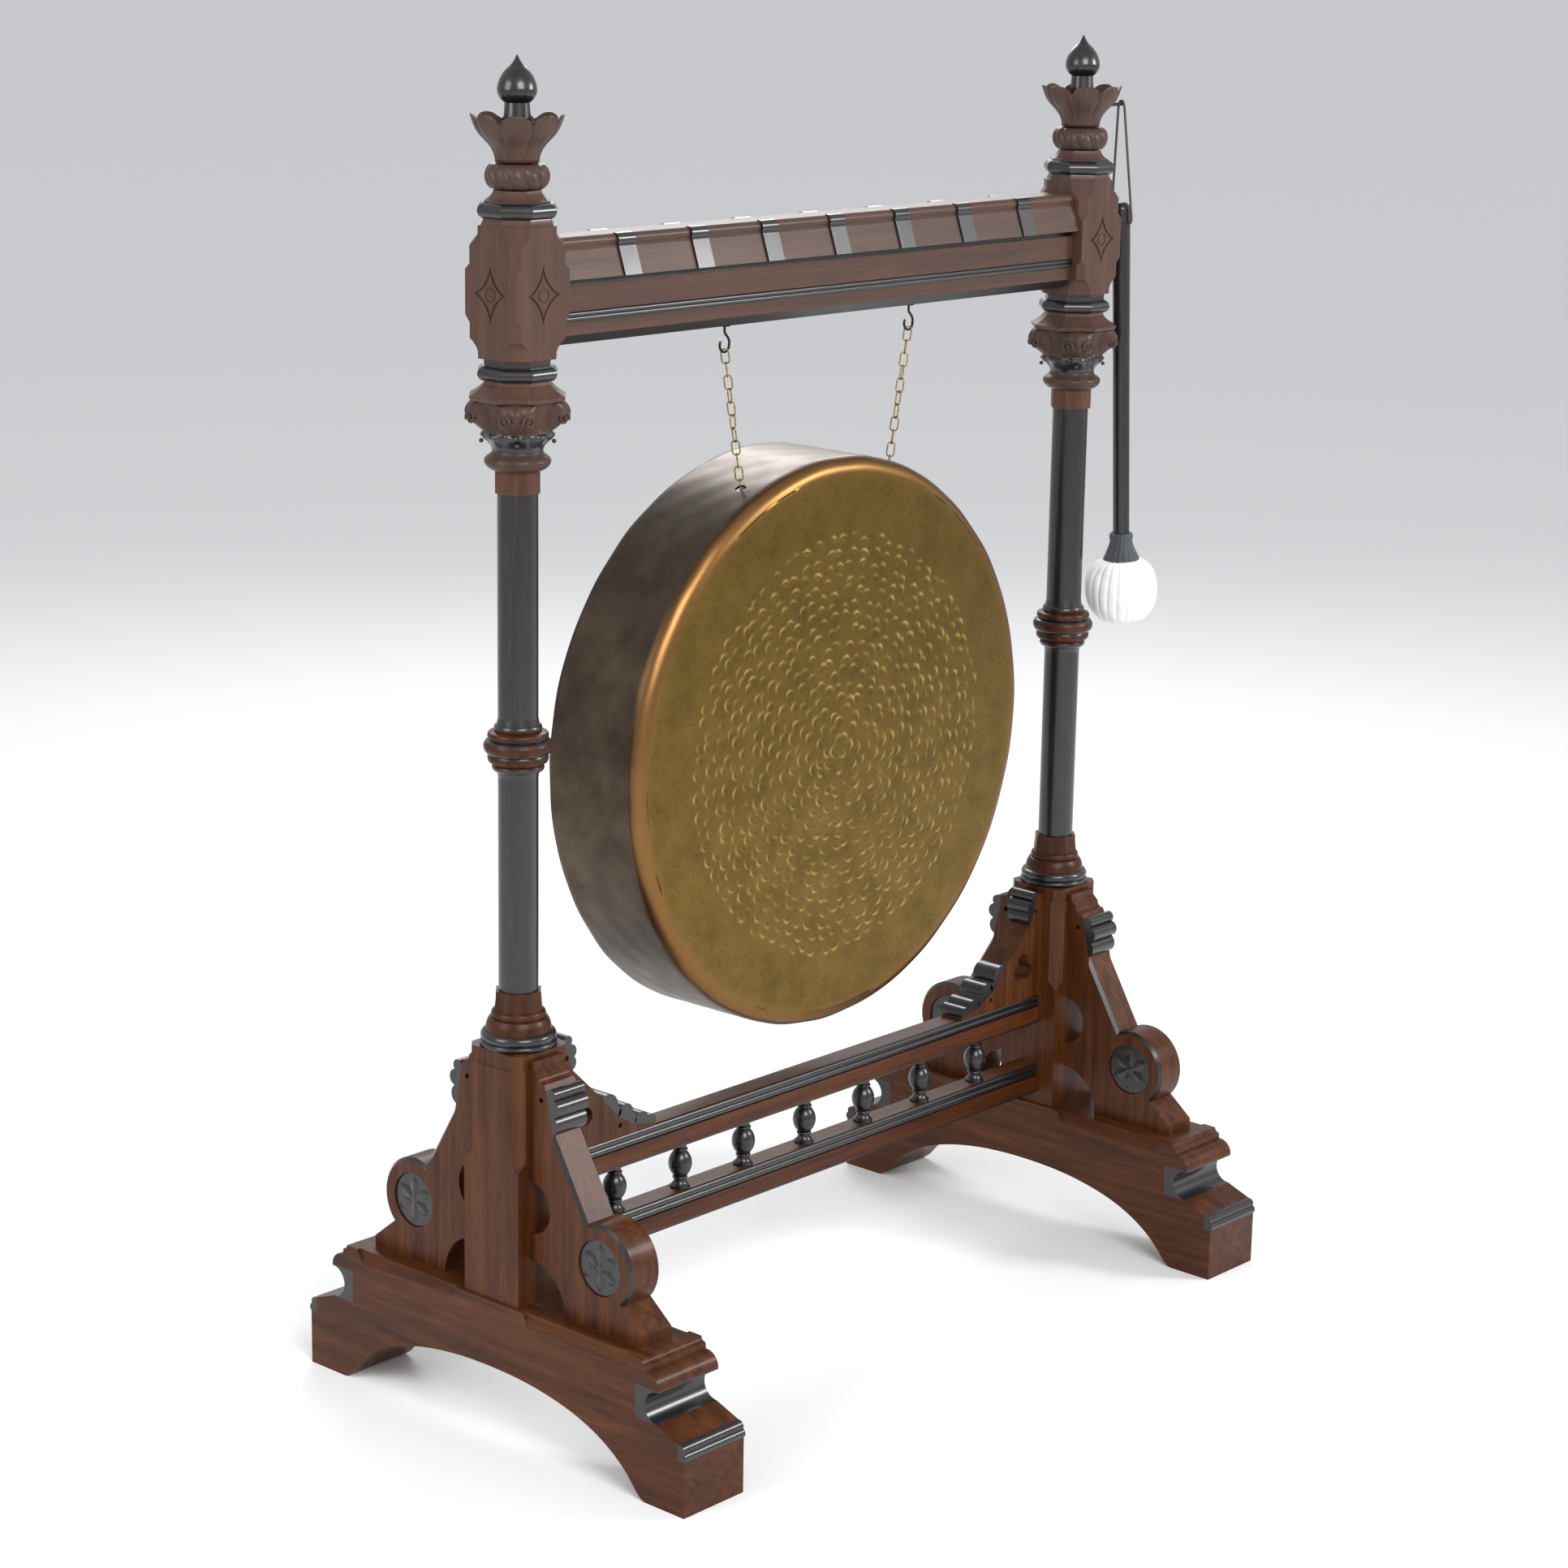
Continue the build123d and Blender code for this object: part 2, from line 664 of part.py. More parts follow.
# ---- Rails between the base blocks, with balusters between them ----
def rail(top):
    """One rail whose upper edge carries a double bead on each side."""
    length = POST_GAP - 2 * BLOCK_HALF
    with BuildPart() as board:
        with BuildSketch(Plane.YZ.offset(STAND_X)):
            with BuildLine():
                Line((0, top), (14, top))
                ThreePointArc((14, top), (17.3, top - 4.5), (15, top - 9))
                ThreePointArc((15, top - 9), (17.3, top - 13), (15, top - 17))
                Polyline(
                    (15, top - 17),
                    (RAIL_HALF, top - 17.5),
                    (RAIL_HALF, top - RAIL_HEIGHT),
                    (0, top - RAIL_HEIGHT),
                    (0, top),
                )
            make_face()
            mirror(about=Plane.YZ)
        extrude(amount=length / 2, both=True)
    return board.part


baluster = turned(
    [
        (12.6, LOWER_RAIL_TOP),
        (12.6, 231),
        (7.4, 239.5, 8.6),
        (7.4, 243, 9.4),
        (7.4, 275.5, 14.7),
        (7.4, 279, 9.4),
        (12.6, UPPER_RAIL_TOP - RAIL_HEIGHT, 8.6),
    ],
    bore=0,
)
baluster_places = [
    STAND_X + (number - (BALUSTER_COUNT - 1) / 2) * BALUSTER_GAP for number in range(BALUSTER_COUNT)
]
balusters = Compound(children=[baluster.moved(Location((x, 0, 0))) for x in baluster_places])

save(beam.part, "beam")
save(beam_straps.part, "beam_straps")
save(rail(UPPER_RAIL_TOP), "upper_rail")
save(rail(LOWER_RAIL_TOP), "lower_rail")
save(balusters, "balusters")

# ---- Gong: a beaten sheet with a rolled front edge and a deep rim, turned about its axis along Y ----
# Its section is drawn as (radius, y). The inside follows the outside at the sheet's thickness.
ROLL_R = GONG_FRONT_R - GONG_FACE_R
ROLL_START_Y = GONG_FACE_Y + ROLL_R


def roll_crest(radius):
    """Middle of the rolled edge's quarter round."""
    return (GONG_FACE_R + radius * sin(radians(45)), ROLL_START_Y - radius * cos(radians(45)))


def gong_section():
    """Closed section of the sheet, from the middle of the face to the back edge of the rim."""
    inner_r = GONG_FRONT_R - GONG_SHEET
    inner_face = GONG_FACE_Y + GONG_SHEET
    dome_y = GONG_FACE_Y - GONG_DOME
    TangentArc((0, dome_y), (GONG_FACE_R, GONG_FACE_Y), tangent=(1, 0))
    ThreePointArc((GONG_FACE_R, GONG_FACE_Y), roll_crest(ROLL_R), (GONG_FRONT_R, ROLL_START_Y))
    Line((GONG_FRONT_R, ROLL_START_Y), (GONG_BACK_R, GONG_BACK_Y))
    Line((GONG_BACK_R, GONG_BACK_Y), (GONG_BACK_R - GONG_SHEET, GONG_BACK_Y))
    Line((GONG_BACK_R - GONG_SHEET, GONG_BACK_Y), (inner_r, ROLL_START_Y))
    ThreePointArc((inner_r, ROLL_START_Y), roll_crest(ROLL_R - GONG_SHEET), (GONG_FACE_R, inner_face))
    TangentArc((0, dome_y + GONG_SHEET), (GONG_FACE_R, inner_face), tangent=(1, 0))
    Line((0, dome_y + GONG_SHEET), (0, dome_y))


rim_slope = (GONG_BACK_R - GONG_FRONT_R) / (GONG_BACK_Y - ROLL_START_Y)
HOLE_RIM_R = GONG_FRONT_R - rim_slope * ROLL_START_Y  # of the rim's outside at y = 0
with BuildPart() as gong:
    with BuildSketch(Plane.XY):
        with BuildLine():
            gong_section()
        make_face()
    revolve(axis=Axis.Y)
    for side in (1, -1):
        z, x = on_circle(HOLE_RIM_R, HOLE_ANGLE)
        with Locations(Location((side * x, 0, z), (0, side * HOLE_ANGLE, 0))):
            Cylinder(HOLE_R, 16, mode=Mode.SUBTRACT)
save(gong.part, "gong", (STAND_X, 0, GONG_Z))

# ---- Hooks: open iron hooks screwed up into the beam's underside ----
HOOK_CENTRE_Z = HOOK_SEAT_Z + HOOK_BEND_R
HOOK_TIP_ANGLE = 35.0
tip_x, tip_z = on_circle(HOOK_BEND_R, HOOK_TIP_ANGLE)
with BuildPart() as hook:
    with BuildLine(Plane.XZ) as hook_path:
        Line((0, BEAM_BOTTOM), (0, 1274))
        Spline((0, 1274), (2.5, 1269.5), (HOOK_BEND_R, 1262), (HOOK_BEND_R, HOOK_CENTRE_Z),
               tangents=((0, -1), (0, -1)))
        ThreePointArc(
            (HOOK_BEND_R, HOOK_CENTRE_Z),
            (0, HOOK_SEAT_Z),
            (-tip_x, HOOK_CENTRE_Z + tip_z),
        )
    with BuildSketch(Plane((0, 0, BEAM_BOTTOM), z_dir=(0, 0, -1))):
        Circle(HOOK_WIRE_R)
    sweep(path=hook_path.line)
    with Locations((0, 0, BEAM_BOTTOM)):
        Cylinder(6.5, 2.2, align=(Align.CENTER, Align.CENTER, Align.MAX))
for side, name in ((-1, "left"), (1, "right")):
    save(hook.part, f"{name}_hook", (STAND_X + side * HOOK_X, 0, 0))

# ---- Chains: oval links, each turned about a quarter from the last, from hook seat to rim pin ----
CHAIN_TOP_Z = HOOK_SEAT_Z + HOOK_WIRE_R + LINK_WIRE_R + CHAIN_PLAY
PIN_R_FROM_AXIS = HOLE_RIM_R - GONG_SHEET - TOGGLE_R - 0.2
pin_z, pin_x = on_circle(PIN_R_FROM_AXIS, HOLE_ANGLE)
chain_drop = CHAIN_TOP_Z - (GONG_Z + pin_z) + TOGGLE_R + LINK_WIRE_R + CHAIN_PLAY
chain_run = HOOK_X - pin_x
CHAIN_LENGTH = hypot(chain_drop, chain_run)
LINK_PITCH = CHAIN_LENGTH / LINK_COUNT
LINK_SLACK = 0.15
LINK_TWISTS = (-45, 45, -45, 20, -70, 5, -110, -45, 45, -45, 45)  # each about a quarter turn from the last
with BuildPart() as link:
    with BuildLine(Plane.XZ) as link_path:
        half_run = (LINK_PITCH + 2 * LINK_WIRE_R + LINK_SLACK - LINK_WIDTH) / 2 + LINK_WIRE_R
        half_width = LINK_WIDTH / 2 - LINK_WIRE_R
        Line((half_width, -half_run), (half_width, half_run))
        ThreePointArc((half_width, half_run), (0, half_run + half_width), (-half_width, half_run))
        Line((-half_width, half_run), (-half_width, -half_run))
        ThreePointArc((-half_width, -half_run), (0, -half_run - half_width), (half_width, -half_run))
    with BuildSketch(Plane((half_width, 0, 0))):
        Circle(LINK_WIRE_R)
    sweep(path=link_path.line)


def chain(side):
    """All links of one chain, from the hook down and inward to the pin."""
    step_x, step_z = -side * chain_run / LINK_COUNT, -chain_drop / LINK_COUNT
    lean = side * degrees(asin(chain_run / CHAIN_LENGTH))
    links = []
    for number in range(LINK_COUNT):
        twist = LINK_TWISTS[number]
        place = Location(
            (side * HOOK_X + step_x * (number + 0.5), 0, CHAIN_TOP_Z + step_z * (number + 0.5)),
            (0, lean, 0),
        )
        links.append(link.part.moved(place * Location((0, 0, 0), (0, 0, twist))))
    return Compound(children=links)


with BuildPart() as toggle:
    with Locations(Location((0, 0, 0), (0, 90, 0))):
        Cylinder(TOGGLE_R, TOGGLE_LENGTH)
for side, name in ((-1, "left"), (1, "right")):
    save(chain(side), f"{name}_chain", (STAND_X, 0, 0))
    turned_toggle = toggle.part.moved(Location((side * pin_x, 0, pin_z), (0, side * HOLE_ANGLE, 0)))
    save(turned_toggle, f"{name}_toggle", (STAND_X, 0, GONG_Z))

# ---- Peg under a leaf of the right cup, and the thong that hangs the beater from it ----
PEG_X = HANDLE_TOP_X - (PEG_Z - HANDLE_TOP_Z) * tan(radians(BEATER_LEAN))
with BuildPart() as thong_peg:
    with BuildSketch(Plane.YZ.offset(PEG_X + 4)):
        with Locations((BEATER_Y, PEG_Z)):
            Circle(PEG_R)
    extrude(until=Until.NEXT, target=leaf_cup.part, dir=(-1, 0, 0))
save(thong_peg.part, "thong_peg", (RIGHT_X, 0, 0))

# The thong runs out of one end of the hole through the handle, up over the peg, and back into the
# other end. It is drawn in the beater's own upright frame as (y, z) and leaned with it. Weight keeps
# its two long runs straight, and the bend over the peg has the peg's size.
PEG_HEIGHT = (PEG_Z - HANDLE_TOP_Z) / cos(radians(BEATER_LEAN))
THONG_ROUTE = [
    (-5.0, HANDLE_HOLE_Z),
    (-17.2, HANDLE_HOLE_Z),
    (-4.2, PEG_HEIGHT + 4.2),
    (4.2, PEG_HEIGHT + 4.2),
    (17.2, HANDLE_HOLE_Z),
    (5.0, HANDLE_HOLE_Z),
]
THONG_BEND_SHARE = 0.45  # of the shorter run that each bend takes up


def bend_radii(route):
    """The radius at each inner point, as large as its two runs allow."""
    radii = []
    for before, corner, after in zip(route, route[1:], route[2:]):
        run_in = Vector(corner) - Vector(before)
        run_out = Vector(after) - Vector(corner)
        half_turn = radians(run_in.get_angle(run_out)) / 2
        shorter = min(run_in.length, run_out.length)
        radii.append(THONG_BEND_SHARE * shorter / tan(half_turn))
    return radii


thong_radii = bend_radii(THONG_ROUTE)
print("thong bend radii", [round(radius, 2) for radius in thong_radii])
with BuildPart() as beater_thong:
    with BuildLine(Plane.YZ) as thong_path:
        FilletPolyline(*THONG_ROUTE, radius=thong_radii)
    with BuildSketch(Plane(thong_path.line @ 0, z_dir=thong_path.line % 0)):
        Circle(THONG_R)
    sweep(path=thong_path.line)
thong_wire = Wire(thong_path.line.edges())
thong_length = thong_wire.length
print("thong length", round(thong_length, 1), "volume share",
      round(beater_thong.part.volume / (thong_length * 3.14159 * THONG_R**2), 4))
save(beater_thong.part.moved(beater_place), "beater_thong", (RIGHT_X, 0, 0))
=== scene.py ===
import json
import math
import random

import bmesh
import bpy
import numpy as np
from mathutils import Matrix, Vector

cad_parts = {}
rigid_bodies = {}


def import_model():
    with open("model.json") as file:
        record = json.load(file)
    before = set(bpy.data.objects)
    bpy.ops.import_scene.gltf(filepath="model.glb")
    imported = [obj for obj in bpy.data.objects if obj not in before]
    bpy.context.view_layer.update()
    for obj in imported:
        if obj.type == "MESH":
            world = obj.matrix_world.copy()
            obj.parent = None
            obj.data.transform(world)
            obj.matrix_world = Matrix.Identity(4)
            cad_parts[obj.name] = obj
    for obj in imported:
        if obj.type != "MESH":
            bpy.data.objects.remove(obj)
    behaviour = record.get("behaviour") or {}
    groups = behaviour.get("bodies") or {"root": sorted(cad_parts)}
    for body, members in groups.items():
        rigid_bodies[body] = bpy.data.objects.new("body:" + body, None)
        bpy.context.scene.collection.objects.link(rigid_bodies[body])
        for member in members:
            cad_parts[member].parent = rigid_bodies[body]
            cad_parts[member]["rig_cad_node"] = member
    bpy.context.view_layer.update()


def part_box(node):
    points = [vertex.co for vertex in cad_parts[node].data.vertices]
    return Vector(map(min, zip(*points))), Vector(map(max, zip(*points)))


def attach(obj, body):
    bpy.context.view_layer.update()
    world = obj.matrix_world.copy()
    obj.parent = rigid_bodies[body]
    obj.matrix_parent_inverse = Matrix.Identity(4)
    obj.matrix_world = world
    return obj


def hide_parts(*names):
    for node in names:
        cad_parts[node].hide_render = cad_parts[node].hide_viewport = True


bl_info = {
    "name": "Tam tam gong on a floor stand",
    "version": (1, 0, 0),
    "blender": (4, 5, 0),
    "location": "3D View > Sidebar > Gong stand",
    "description": "Dresses the stand, gong and beater with detailed pieces and finishes",
    "category": "Object",
}

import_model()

MM = 0.001
FULL_TURN = 2 * math.pi


def linear(hex_code):
    """An sRGB hex colour as linear red, green, blue and alpha."""
    channels = [int(hex_code[k : k + 2], 16) / 255 for k in (1, 3, 5)]
    return tuple(c / 12.92 if c <= 0.04045 else ((c + 0.055) / 1.055) ** 2.4 for c in channels) + (1.0,)


def middle_of(node):
    low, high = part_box(node)
    return (low + high) / 2


# ---- Places, all from the frame, in metres ----
LEFT_POST = middle_of("left_upper_shaft").x
RIGHT_POST = middle_of("right_upper_shaft").x
STAND_MIDDLE = (LEFT_POST + RIGHT_POST) / 2
POSTS = {"left": LEFT_POST, "right": RIGHT_POST}

# The beater's own upright frame: its origin is the handle's top, and it leans outward from the post.
BEATER_LEAN = math.radians(3.6)
BEATER_TOP = Vector((RIGHT_POST + 55.8 * MM, -28.5 * MM, 1387 * MM))
BEATER_FRAME = Matrix.Translation(BEATER_TOP) @ Matrix.Rotation(-BEATER_LEAN, 4, "Y")


# ---- Settings that a user would change ----
def colour_setting(name, description, hex_code):
    return bpy.props.FloatVectorProperty(
        name=name, description=description, subtype="COLOR", size=4, min=0, max=1, default=linear(hex_code)
    )


def length_setting(name, description, millimetres):
    return bpy.props.FloatProperty(
        name=name, description=description, unit="LENGTH", subtype="DISTANCE", min=0, default=millimetres * MM
    )


class GongStandColours(bpy.types.PropertyGroup):
    """Colours of the stand's finishes."""

    oak_dark: colour_setting("Oak, dark grain", "Stained oak between the growth rings", "#351a0a")
    oak_mid: colour_setting("Oak, body", "Stained oak as it shows most", "#4b270f")
    oak_light: colour_setting("Oak, light grain", "Stained oak where polish has worn thin", "#5d3519")
    ebonised: colour_setting("Ebonised wood", "Black stain on mouldings and turned rings", "#161517")
    ebonised_worn: colour_setting("Ebonised wood, worn", "Brown that shows through the black stain", "#33251e")
    bronze: colour_setting("Bronze face", "Gong's struck face", "#6c562a")
    bronze_dark: colour_setting("Bronze patina", "Dark oxide in the hammer marks and at the rim", "#43392f")
    # A painted highlight: coppery colour laid along the gong's rolled edge.
    bronze_roll_highlight: colour_setting("Bronze edge", "Coppery edge where hands have rubbed it", "#86603a")
    # A painted highlight: bright bronze laid on the raised lips of the hammer marks.
    bronze_lip_highlight: colour_setting("Bronze, worn bright", "Crests of the hammer marks", "#c0a55e")
    brass: colour_setting("Brass chain", "Links of the chains", "#9c8549")
    iron: colour_setting("Iron hooks", "Blackened iron", "#3b3836")
    wool: colour_setting("Wool pad", "Cover of the beater's head", "#f1f0ed")
    collar: colour_setting("Collar cloth", "Cloth bound over the top of the pad", "#3c3f43")
    leather: colour_setting("Thong", "Leather thong of the beater", "#4b3a2c")


class GongStandSizes(bpy.types.PropertyGroup):
    """Sizes of the details that only the visual model has."""

    hammer_depth: length_setting("Hammer mark depth", "How deep each mark in the face is", 0.8)
    petal_notch: length_setting("Leaf notch", "How far the cup's edge drops between two leaves", 9.0)
    strand_depth: length_setting("Rope groove", "Depth of the grooves between the rope's strands", 3.2)
    pad_fold: length_setting("Pad fold", "Depth of the folds gathered into the beater's head", 3.2)
    thong: length_setting("Thong thickness", "Diameter of the beater's leather thong", 3.2)


# ---- Mesh helpers ----
def ring_faces(rows, columns):
    """Quads between rows of closed rings."""
    faces = []
    for row in range(rows - 1):
        for column in range(columns):
            after = (column + 1) % columns
            a, b = row * columns + column, row * columns + after
            faces.append((a, b, b + columns, a + columns))
    return faces


def piece(name, vertices, faces, material, body, slot, *replaced):
    """A smooth mesh piece that rides on a body, in place of CAD nodes."""
    mesh = bpy.data.meshes.new(name)
    mesh.from_pydata([tuple(v) for v in vertices], [], faces)
    shell = bmesh.new()
    shell.from_mesh(mesh)
    bmesh.ops.recalc_face_normals(shell, faces=shell.faces)
    shell.to_mesh(mesh)
    shell.free()
    mesh.polygons.foreach_set("use_smooth", [True] * len(mesh.polygons))
    obj = bpy.data.objects.new(name, mesh)
    bpy.context.scene.collection.objects.link(obj)
    mesh.materials.append(material)
    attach(obj, body)
    if replaced:
        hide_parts(*replaced)
    return obj


def closed_revolution(outline, columns, shape=None):
    """Vertices and faces of a closed ring whose section is outline, a list of (radius, height).
    shape(radius, height, angle, row) may move a point; the section's last point joins its first."""
    rows = len(outline)
    vertices = []
    for row, (radius, height) in enumerate(outline):
        for column in range(columns):
            angle = FULL_TURN * column / columns
            r, h = (radius, height) if shape is None else shape(radius, height, angle, row)
            vertices.append((r * math.cos(angle), r * math.sin(angle), h))
    faces = ring_faces(rows, columns)
    last = (rows - 1) * columns
    for column in range(columns):
        after = (column + 1) % columns
        faces.append((last + column, last + after, after, column))
    return vertices, faces


def arc_points(centre, radius, start, end, count):
    """Points along an arc about centre, angles in degrees, both ends included."""
    angles = np.radians(np.linspace(start, end, count))
    return [(centre[0] + radius * math.cos(a), centre[1] + radius * math.sin(a)) for a in angles]


# ---- Material helpers ----
def add_node(tree, kind, settings=None, inputs=None, links=None):
    """Add a shader node, set its properties and input values, and link its inputs. An input may be a
    value or a socket, and the setting "stops" is a colour ramp's list of (position, colour)."""
    node = tree.nodes.new(kind)
    for key, value in (settings or {}).items():
        if key == "stops":
            elements = node.color_ramp.elements
            while len(elements) < len(value):
                elements.new(0.5)
            for element, (position, colour) in zip(elements, value):
                element.position = position
                element.color = colour
        else:
            setattr(node, key, value)
    for key, value in (inputs or {}).items():
        if isinstance(value, bpy.types.NodeSocket):
            tree.links.new(value, node.inputs[key])
        else:
            node.inputs[key].default_value = value
    for key, source in (links or {}).items():
        tree.links.new(source, node.inputs[key])
    return node


def new_material(name):
    """An empty node material, its tree and its output node."""
    material = bpy.data.materials.new(name)
    material.use_nodes = True
    tree = material.node_tree
    tree.nodes.clear()
    output = tree.nodes.new("ShaderNodeOutputMaterial")
    return material, tree, output


BLEND = {"data_type": "RGBA"}
TINT = {"data_type": "RGBA", "blend_type": "MULTIPLY"}
FACTOR, FIRST, SECOND, MIXED = 0, 6, 7, 2  # sockets of a Mix node that mixes colours


def tinted(colour, share):
    """A colour made darker or lighter."""
    return tuple(min(1, c * share) for c in colour[:3]) + (1,)


def zone_mask(tree, zones):
    """1 inside any of the zones. A zone is a dict of "y" (distance either side of the stand's middle
    plane) and "z" (height) to a (low, high) pair in metres."""
    where = add_node(tree, "ShaderNodeTexCoord").outputs["Object"]
    axes = add_node(tree, "ShaderNodeSeparateXYZ", links={"Vector": where}).outputs
    across = add_node(tree, "ShaderNodeMath", {"operation": "ABSOLUTE"}, {0: axes["Y"]}).outputs[0]
    coordinate = {"y": across, "z": axes["Z"]}
    total = None
    for zone in zones:
        inside = None
        for axis, limits in zone.items():
            for operation, limit in zip(("GREATER_THAN", "LESS_THAN"), limits):
                test = add_node(
                    tree, "ShaderNodeMath", {"operation": operation}, {0: coordinate[axis], 1: limit}
                ).outputs[0]
                inside = test if inside is None else add_node(
                    tree, "ShaderNodeMath", {"operation": "MULTIPLY"}, {0: inside, 1: test}
                ).outputs[0]
        total = inside if total is None else add_node(
            tree, "ShaderNodeMath", {"operation": "MAXIMUM"}, {0: total, 1: inside}
        ).outputs[0]
    return total


# How far a chamfer's normal leans towards X.
CHAMFER_LEAN = (0.45, 0.9)


def slant_mask(tree):
    """1 on faces whose normal leans between X and another direction, as a chamfer's does."""
    normal = add_node(tree, "ShaderNodeNewGeometry").outputs["True Normal"]
    sideways = add_node(tree, "ShaderNodeSeparateXYZ", links={0: normal}).outputs["X"]
    lean = add_node(tree, "ShaderNodeMath", {"operation": "ABSOLUTE"}, {0: sideways}).outputs[0]
    steep = add_node(tree, "ShaderNodeMath", {"operation": "GREATER_THAN"}, {0: lean, 1: CHAMFER_LEAN[0]}).outputs[0]
    shallow = add_node(tree, "ShaderNodeMath", {"operation": "LESS_THAN"}, {0: lean, 1: CHAMFER_LEAN[1]}).outputs[0]
    return add_node(tree, "ShaderNodeMath", {"operation": "MULTIPLY"}, {0: steep, 1: shallow}).outputs[0]


GRAIN_STRETCH = {"X": (0.05, 1, 1), "Y": (1, 0.05, 1), "Z": (1, 1, 0.05)}
# Oak's pores are 0.3 mm across and can't show at this size, so the fibres are drawn 1.6 mm wide.
FIBRE_SCALE = 1 / 0.0016
FIGURE_SCALE = 1 / 0.014
MOTTLE_SCALE = 1 / 0.12


def oak_colour(tree, colours, grain, shade):
    """Colour and height sockets of stained oak, its grain along one axis."""
    where = add_node(tree, "ShaderNodeTexCoord").outputs["Object"]
    along = add_node(tree, "ShaderNodeMapping", links={"Vector": where})
    along.inputs["Scale"].default_value = GRAIN_STRETCH[grain]
    fibres = add_node(
        tree, "ShaderNodeTexNoise", inputs={"Scale": FIBRE_SCALE, "Detail": 3.0, "Roughness": 0.6},
        links={"Vector": along.outputs[0]},
    ).outputs["Fac"]
    figure = add_node(
        tree, "ShaderNodeTexNoise",
        inputs={"Scale": FIGURE_SCALE, "Detail": 4.0, "Roughness": 0.55, "Distortion": 0.6},
        links={"Vector": along.outputs[0]},
    ).outputs["Fac"]
    mottle = add_node(
        tree, "ShaderNodeTexNoise", inputs={"Scale": MOTTLE_SCALE, "Detail": 2.0}, links={"Vector": where}
    ).outputs["Fac"]
    stops = [(0.28, tuple(colours.oak_dark)), (0.5, tuple(colours.oak_mid)), (0.74, tuple(colours.oak_light))]
    body = add_node(tree, "ShaderNodeValToRGB", {"stops": stops}, {0: figure}).outputs[0]
    stops = [(0.34, (0.68, 0.64, 0.62, 1)), (0.5, (1, 1, 1, 1))]
    pores = add_node(tree, "ShaderNodeValToRGB", {"stops": stops}, {0: fibres}).outputs[0]
    stops = [(0.35, (0.8 * shade, 0.78 * shade, 0.77 * shade, 1)), (0.65, (shade, shade, shade, 1))]
    polish = add_node(tree, "ShaderNodeValToRGB", {"stops": stops}, {0: mottle}).outputs[0]
    grained = add_node(tree, "ShaderNodeMix", TINT, {FACTOR: 1.0, FIRST: body, SECOND: pores}).outputs[MIXED]
    stained = add_node(tree, "ShaderNodeMix", TINT, {FACTOR: 1.0, FIRST: grained, SECOND: polish}).outputs[MIXED]
    return stained, fibres


# Painted glare: a grey mixed into the stain of the upper parts, standing in for light glancing off them.
PAINTED_GLARE_GREY = linear("#8a7d78")


def stained_oak(name, colours, grain, zones=(), shade=1.0, painted_glare=0.0, chamfers=False):
    """Oak, planed or turned, stained brown and waxed: long grain, open pores and a soft sheen. Zones
    are black, as the maker ebonised the mouldings, and so are faces cut at a slant between X and the
    rest where chamfers is set. shade darkens the stain, and the glare share mixes in a painted glare,
    a grey haze that stands in for light glancing off the wood."""
    material, tree, output = new_material(name)
    colour, fibres = oak_colour(tree, colours, grain, shade)
    # Painted glare: a grey haze laid over the stain in place of light glancing off the wood.
    if painted_glare:
        hazed = {FACTOR: painted_glare, FIRST: colour, SECOND: PAINTED_GLARE_GREY}
        colour = add_node(tree, "ShaderNodeMix", BLEND, hazed).outputs[MIXED]
    bump = add_node(
        tree, "ShaderNodeBump", inputs={"Strength": 0.35, "Distance": 0.0004}, links={"Height": fibres}
    ).outputs[0]
    wax = add_node(
        tree, "ShaderNodeBsdfPrincipled",
        inputs={
            "Roughness": 0.4, "IOR": 1.5, "Specular IOR Level": 0.18, "Coat Weight": 0.06, "Coat Roughness": 0.15,
        },
        links={"Base Color": colour, "Normal": bump},
    )
    surface = wax.outputs[0]
    if zones or chamfers:
        black = ebony_shader(tree, colours, grain)
        mask = slant_mask(tree) if chamfers else zone_mask(tree, zones)
        surface = add_node(tree, "ShaderNodeMixShader", links={0: mask, 1: surface, 2: black}).outputs[0]
    tree.links.new(surface, output.inputs["Surface"])
    return material


def ebony_shader(tree, colours, grain):
    """Black-stained and polished wood: nearly black, with brown worn through on the fibres."""
    where = add_node(tree, "ShaderNodeTexCoord").outputs["Object"]
    along = add_node(tree, "ShaderNodeMapping", links={"Vector": where})
    along.inputs["Scale"].default_value = GRAIN_STRETCH[grain]
    fibres = add_node(
        tree, "ShaderNodeTexNoise", inputs={"Scale": FIBRE_SCALE / 2, "Detail": 4.0},
        links={"Vector": along.outputs[0]},
    ).outputs["Fac"]
    stops = [(0.55, tuple(colours.ebonised)), (0.78, tuple(colours.ebonised_worn))]
    colour = add_node(tree, "ShaderNodeValToRGB", {"stops": stops}, {0: fibres}).outputs[0]
    bump = add_node(
        tree, "ShaderNodeBump", inputs={"Strength": 0.25, "Distance": 0.0003}, links={"Height": fibres}
    ).outputs[0]
    return add_node(
        tree, "ShaderNodeBsdfPrincipled",
        inputs={"Roughness": 0.3, "IOR": 1.5, "Coat Weight": 0.25, "Coat Roughness": 0.12},
        links={"Base Color": colour, "Normal": bump},
    ).outputs[0]


def ebonised_wood(name, colours, grain):
    """Turned or carved wood, stained black and polished, which gives sharp small highlights."""
    material, tree, output = new_material(name)
    tree.links.new(ebony_shader(tree, colours, grain), output.inputs["Surface"])
    return material


